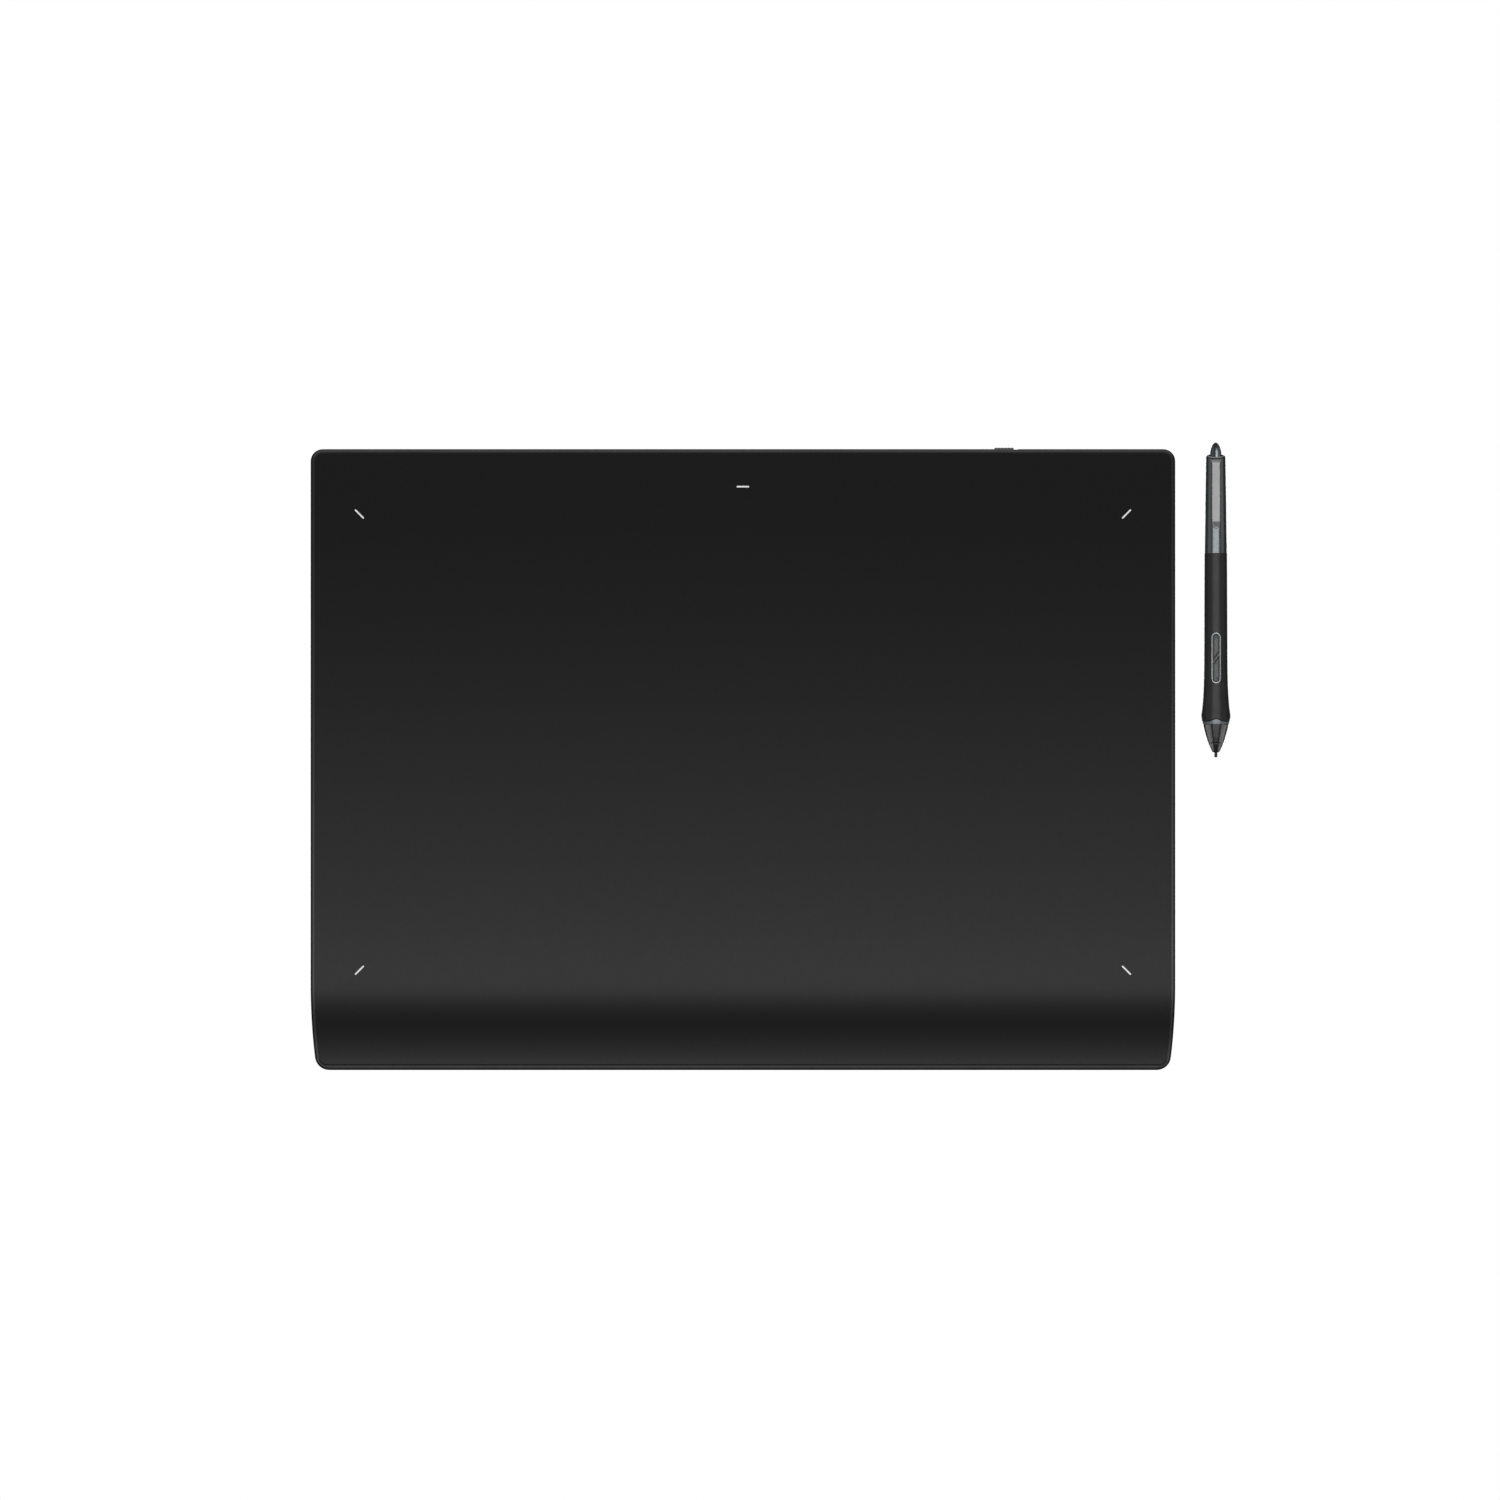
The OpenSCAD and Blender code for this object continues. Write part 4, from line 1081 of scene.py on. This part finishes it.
def build_key(name, node, side):
    """One key: rings from its foot to its crown, as (inset, height over the grip)."""
    levels = ((0, -1.1), (0, -0.5), (0.08, -0.4), (0.42, -0.08), (0.62, 0.2), (0.72, 0.3),
              (0.86, KEY_CROWN))
    rings = []
    for inset, above in levels:
        rings.append([on_grip(x, KEY_S + y, above) for x, y in key_outline(side, inset)])
    points, faces = loft(rings, one_face)
    # the crown's fan of faces meets at its middle
    count = len(rings[0])
    top = len(points) - count
    points.append(on_grip(0, KEY_S + side * KEY_MIDDLE, KEY_CROWN))
    faces += [(top + i, top + (i + 1) % count, len(points) - 1) for i in range(count)]
    key = mesh_object(name, (points, faces), ON_PEN, 60)
    carve(key, dimple_cutter(KEY_S + side * DIMPLE))
    in_order(key.data)
    tidy_normals(key.data, 32)
    return installed(key, node)


# ---- what the CAD parts keep ----

EDGES_MM = {
    "power_slider": 0.25, "usb_c_shell": 0.06, "usb_c_tongue": 0.06, "battery": 0.5, "main_board": 0.05,
    "sensor_board": 0.05, "board_chips": 0.08, "slide_switch": 0.08, "switch_stub": 0.08,
    "support_pads": 0.3, "inner_frame": 0.1,
}


def dress_cad_parts():
    """Gives each CAD node that still shows its material, and rounds its edges where it has any."""
    for name, obj in nodes.items():
        obj.data.materials.clear()
        obj.data.materials.append(LOOKS[SLOT_OF[name]])
        for face in obj.data.polygons:
            face.material_index = 0
        if obj.hide_render or name not in EDGES_MM:
            continue
        custom = obj.data.attributes.get("custom_normal")
        if custom:
            obj.data.attributes.remove(custom)
        obj.data.shade_smooth()
        modifier(obj, "WELD", merge_threshold=1e-6)
        modifier(obj, "DECIMATE", decimate_type="DISSOLVE", angle_limit=math.radians(1))
        soften(obj, EDGES_MM[name])


# ---- floor, lights and camera ----

def camera_sees_white(tree, shader_kind, others):
    """A shader that is white to the camera and has the strength others for all other rays."""
    path = tree.nodes.new("ShaderNodeLightPath")
    levels = tree.nodes.new("ShaderNodeMapRange")
    levels.inputs["To Min"].default_value = others
    levels.inputs["To Max"].default_value = 1.0
    shader = tree.nodes.new(shader_kind)
    shader.inputs["Color"].default_value = (1, 1, 1, 1)
    tree.links.new(path.outputs["Is Camera Ray"], levels.inputs["Value"])
    tree.links.new(levels.outputs["Result"], shader.inputs["Strength"])
    return shader


def build_floor():
    """A plain white floor, seen only by the camera and only from above."""
    material = bpy.data.materials.new("white_floor")
    material.use_nodes = True
    tree = material.node_tree
    tree.nodes.clear()
    light = camera_sees_white(tree, "ShaderNodeEmission", 0)
    clear = tree.nodes.new("ShaderNodeBsdfTransparent")
    side = tree.nodes.new("ShaderNodeNewGeometry")
    mix = tree.nodes.new("ShaderNodeMixShader")
    out = tree.nodes.new("ShaderNodeOutputMaterial")
    tree.links.new(side.outputs["Backfacing"], mix.inputs[0])
    tree.links.new(light.outputs[0], mix.inputs[1])
    tree.links.new(clear.outputs[0], mix.inputs[2])
    tree.links.new(mix.outputs[0], out.inputs["Surface"])
    reach = 40.0
    mesh = bpy.data.meshes.new("floor")
    mesh.from_pydata([(-reach, -reach, 0), (reach, -reach, 0), (reach, reach, 0), (-reach, reach, 0)],
                     [], [(0, 1, 2, 3)])
    mesh.materials.append(material)
    floor = added("floor", mesh)
    floor.visible_diffuse = False
    floor.visible_glossy = False
    floor.visible_shadow = False


def area_light(name, place, aim, size, radiance, lit):
    """A rectangular light of an even radiance that falls on the pieces in the group lit only."""
    data = bpy.data.lights.new(name, "AREA")
    data.shape = "RECTANGLE"
    data.size, data.size_y = size
    data.energy = radiance * math.pi * size[0] * size[1]
    obj = added(name, data)
    obj.location = place
    obj.rotation_mode = "QUATERNION"
    obj.rotation_quaternion = (Vector(aim) - Vector(place)).to_track_quat("-Z", "Y")
    obj.visible_camera = False
    obj.light_linking.receiver_collection = lit
    obj.light_linking.blocker_collection = lit
    return obj


def graded(light, stops):
    """Grades a light along its own Y by (place, share) stops, with the places in metres."""
    data = light.data
    data.use_nodes = True
    tree = data.node_tree
    emission = tree.nodes["Emission"]
    place = tree.nodes.new("ShaderNodeNewGeometry")
    split = tree.nodes.new("ShaderNodeSeparateXYZ")
    ramp = tree.nodes.new("ShaderNodeValToRGB")
    ramp.color_ramp.interpolation = "B_SPLINE"
    first, last = stops[0][0], stops[-1][0]
    while len(ramp.color_ramp.elements) < len(stops):
        ramp.color_ramp.elements.new(0.5)
    for element, (y, share) in zip(ramp.color_ramp.elements, stops):
        element.position = (y - first) / (last - first)
        element.color = (share, share, share, 1)
    tree.links.new(place.outputs["Parametric"], split.inputs[0])
    tree.links.new(split.outputs["Y"], ramp.inputs["Fac"])
    tree.links.new(ramp.outputs["Color"], emission.inputs["Color"])


def lit_group(name, bodies, starts=""):
    """The pieces on these bodies whose names start this way, as a group for light linking."""
    group = bpy.data.collections.new(name)
    for obj in bpy.context.scene.objects:
        if obj.type == "MESH" and obj.get("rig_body") in bodies and obj.name.startswith(starts):
            group.objects.link(obj)
    return group


CARD_Z = 0.3
# the card's brightness, from in front of the tablet to behind it
CARD_STOPS = ((-0.60, 0.0), (-0.36, 0.15), (-0.31, 1.15), (-0.262, 0.56), (-0.21, 0.12), (-0.175, 0.11),
              (-0.145, 0.4), (-0.112, 1.4), (-0.098, 0.77), (-0.02, 0.5), (0.04, 0.35), (0.16, 0.07),
              (0.23, 0.45), (0.4, 0.8))


def build_world():
    """White to the camera, and a faint even light for all else."""
    world = bpy.data.worlds.new("studio")
    bpy.context.scene.world = world
    world.use_nodes = True
    tree = world.node_tree
    tree.nodes.clear()
    sky = camera_sees_white(tree, "ShaderNodeBackground", 0.07)
    out = tree.nodes.new("ShaderNodeOutputWorld")
    tree.links.new(sky.outputs[0], out.inputs["Surface"])


def build_lights():
    """A graded card over the tablet, which its panel mirrors, and strips and sides for the pen."""
    tablet = lit_group("tablet_pieces", ("tablet", "power_slider", "switch_stub"))
    whole_pen = lit_group("pen_pieces", ("pen", "nib", "eraser", "front_key", "rear_key", "clip"))
    barrel = lit_group("barrel_pieces", ("pen", "nib", "front_key", "rear_key", "clip"))
    nose = lit_group("nose_pieces", ("pen",), "nose_")
    bezel = lit_group("bezel_pieces", ("pen",), "key_bezel")
    eraser = lit_group("eraser_pieces", ("eraser",))
    first, last = CARD_STOPS[0][0], CARD_STOPS[-1][0]
    middle = (first + last) / 2
    card_size = (0.68, last - first)
    card = area_light("graded_card", (0, middle, CARD_Z), (0, middle, 0), card_size, 1.0, tablet)
    graded(card, CARD_STOPS)
    x, y = PEN_TIP.x, PEN_TIP.y
    area_light("pen_strip", (x, 0, 0.6), (x, 0, 0), (0.64, 0.74), 1.5, barrel)
    area_light("eraser_strip", (x + 0.25, 0.15, 0.6), (x + 0.25, 0.15, 0), (0.5, 0.8), 2.3, eraser)
    area_light("tail_light", (x, 0.95, -0.35), (x, 0.15, 0), (0.6, 1.0), 0.8, barrel)
    for side in (-1, 1):
        area_light("bezel_end", (x, side * 0.55, 0.5), (x, 0, 0), (0.14, 0.35), 3.0, bezel)
        edge_x = x + side * 0.27
        area_light("strip_edge", (edge_x, 0, 0.59), (edge_x, 0, 0), (0.12, 0.74), 0.8, barrel)
        area_light("pen_flank", (x + side * 0.8, 0.1, 0.25), (x, 0.1, 0), (1.6, 0.5), 0.29, whole_pen)
        area_light("nose_side", (x + side * 0.54, y - 0.25, 0.06), (x, y, 0), (0.4, 0.7), 2.2, nose)
    area_light("tablet_under", (0, 0, -1.2), (0, 0, 0), (3.0, 3.0), 0.9, tablet)
    area_light("pen_under", (x, 0, -1.2), (x, 0, 0), (0.6, 0.6), 6.0, whole_pen)


FRAME_W_MM = 745.0
CENTRE_MM = (3.5, 4.8)


def build_camera():
    """Straight above, through a long lens, with the tablet a little left of the middle."""
    data = bpy.data.cameras.new("camera")
    data.lens = 400
    data.sensor_width = 36
    height = FRAME_W_MM * MM / (data.sensor_width / data.lens) + TOP_Z * MM
    data.clip_end = 100
    camera = added("camera", data)
    camera.location = (CENTRE_MM[0] * MM, CENTRE_MM[1] * MM, height)
    bpy.context.scene.camera = camera


build_work_surface()
build_rear_cover()
build_feet()
build_nib()
build_nose()
build_accent_ring()
build_grip()
build_bezel()
build_divider()
build_key("front_key_cap", "key_front", -1)
build_key("rear_key_cap", "key_rear", 1)
build_upper_barrel()
build_eraser()
build_clip()
dress_cad_parts()
build_floor()
build_world()
build_lights()
build_camera()
bpy.context.scene.view_settings.view_transform = "Standard"
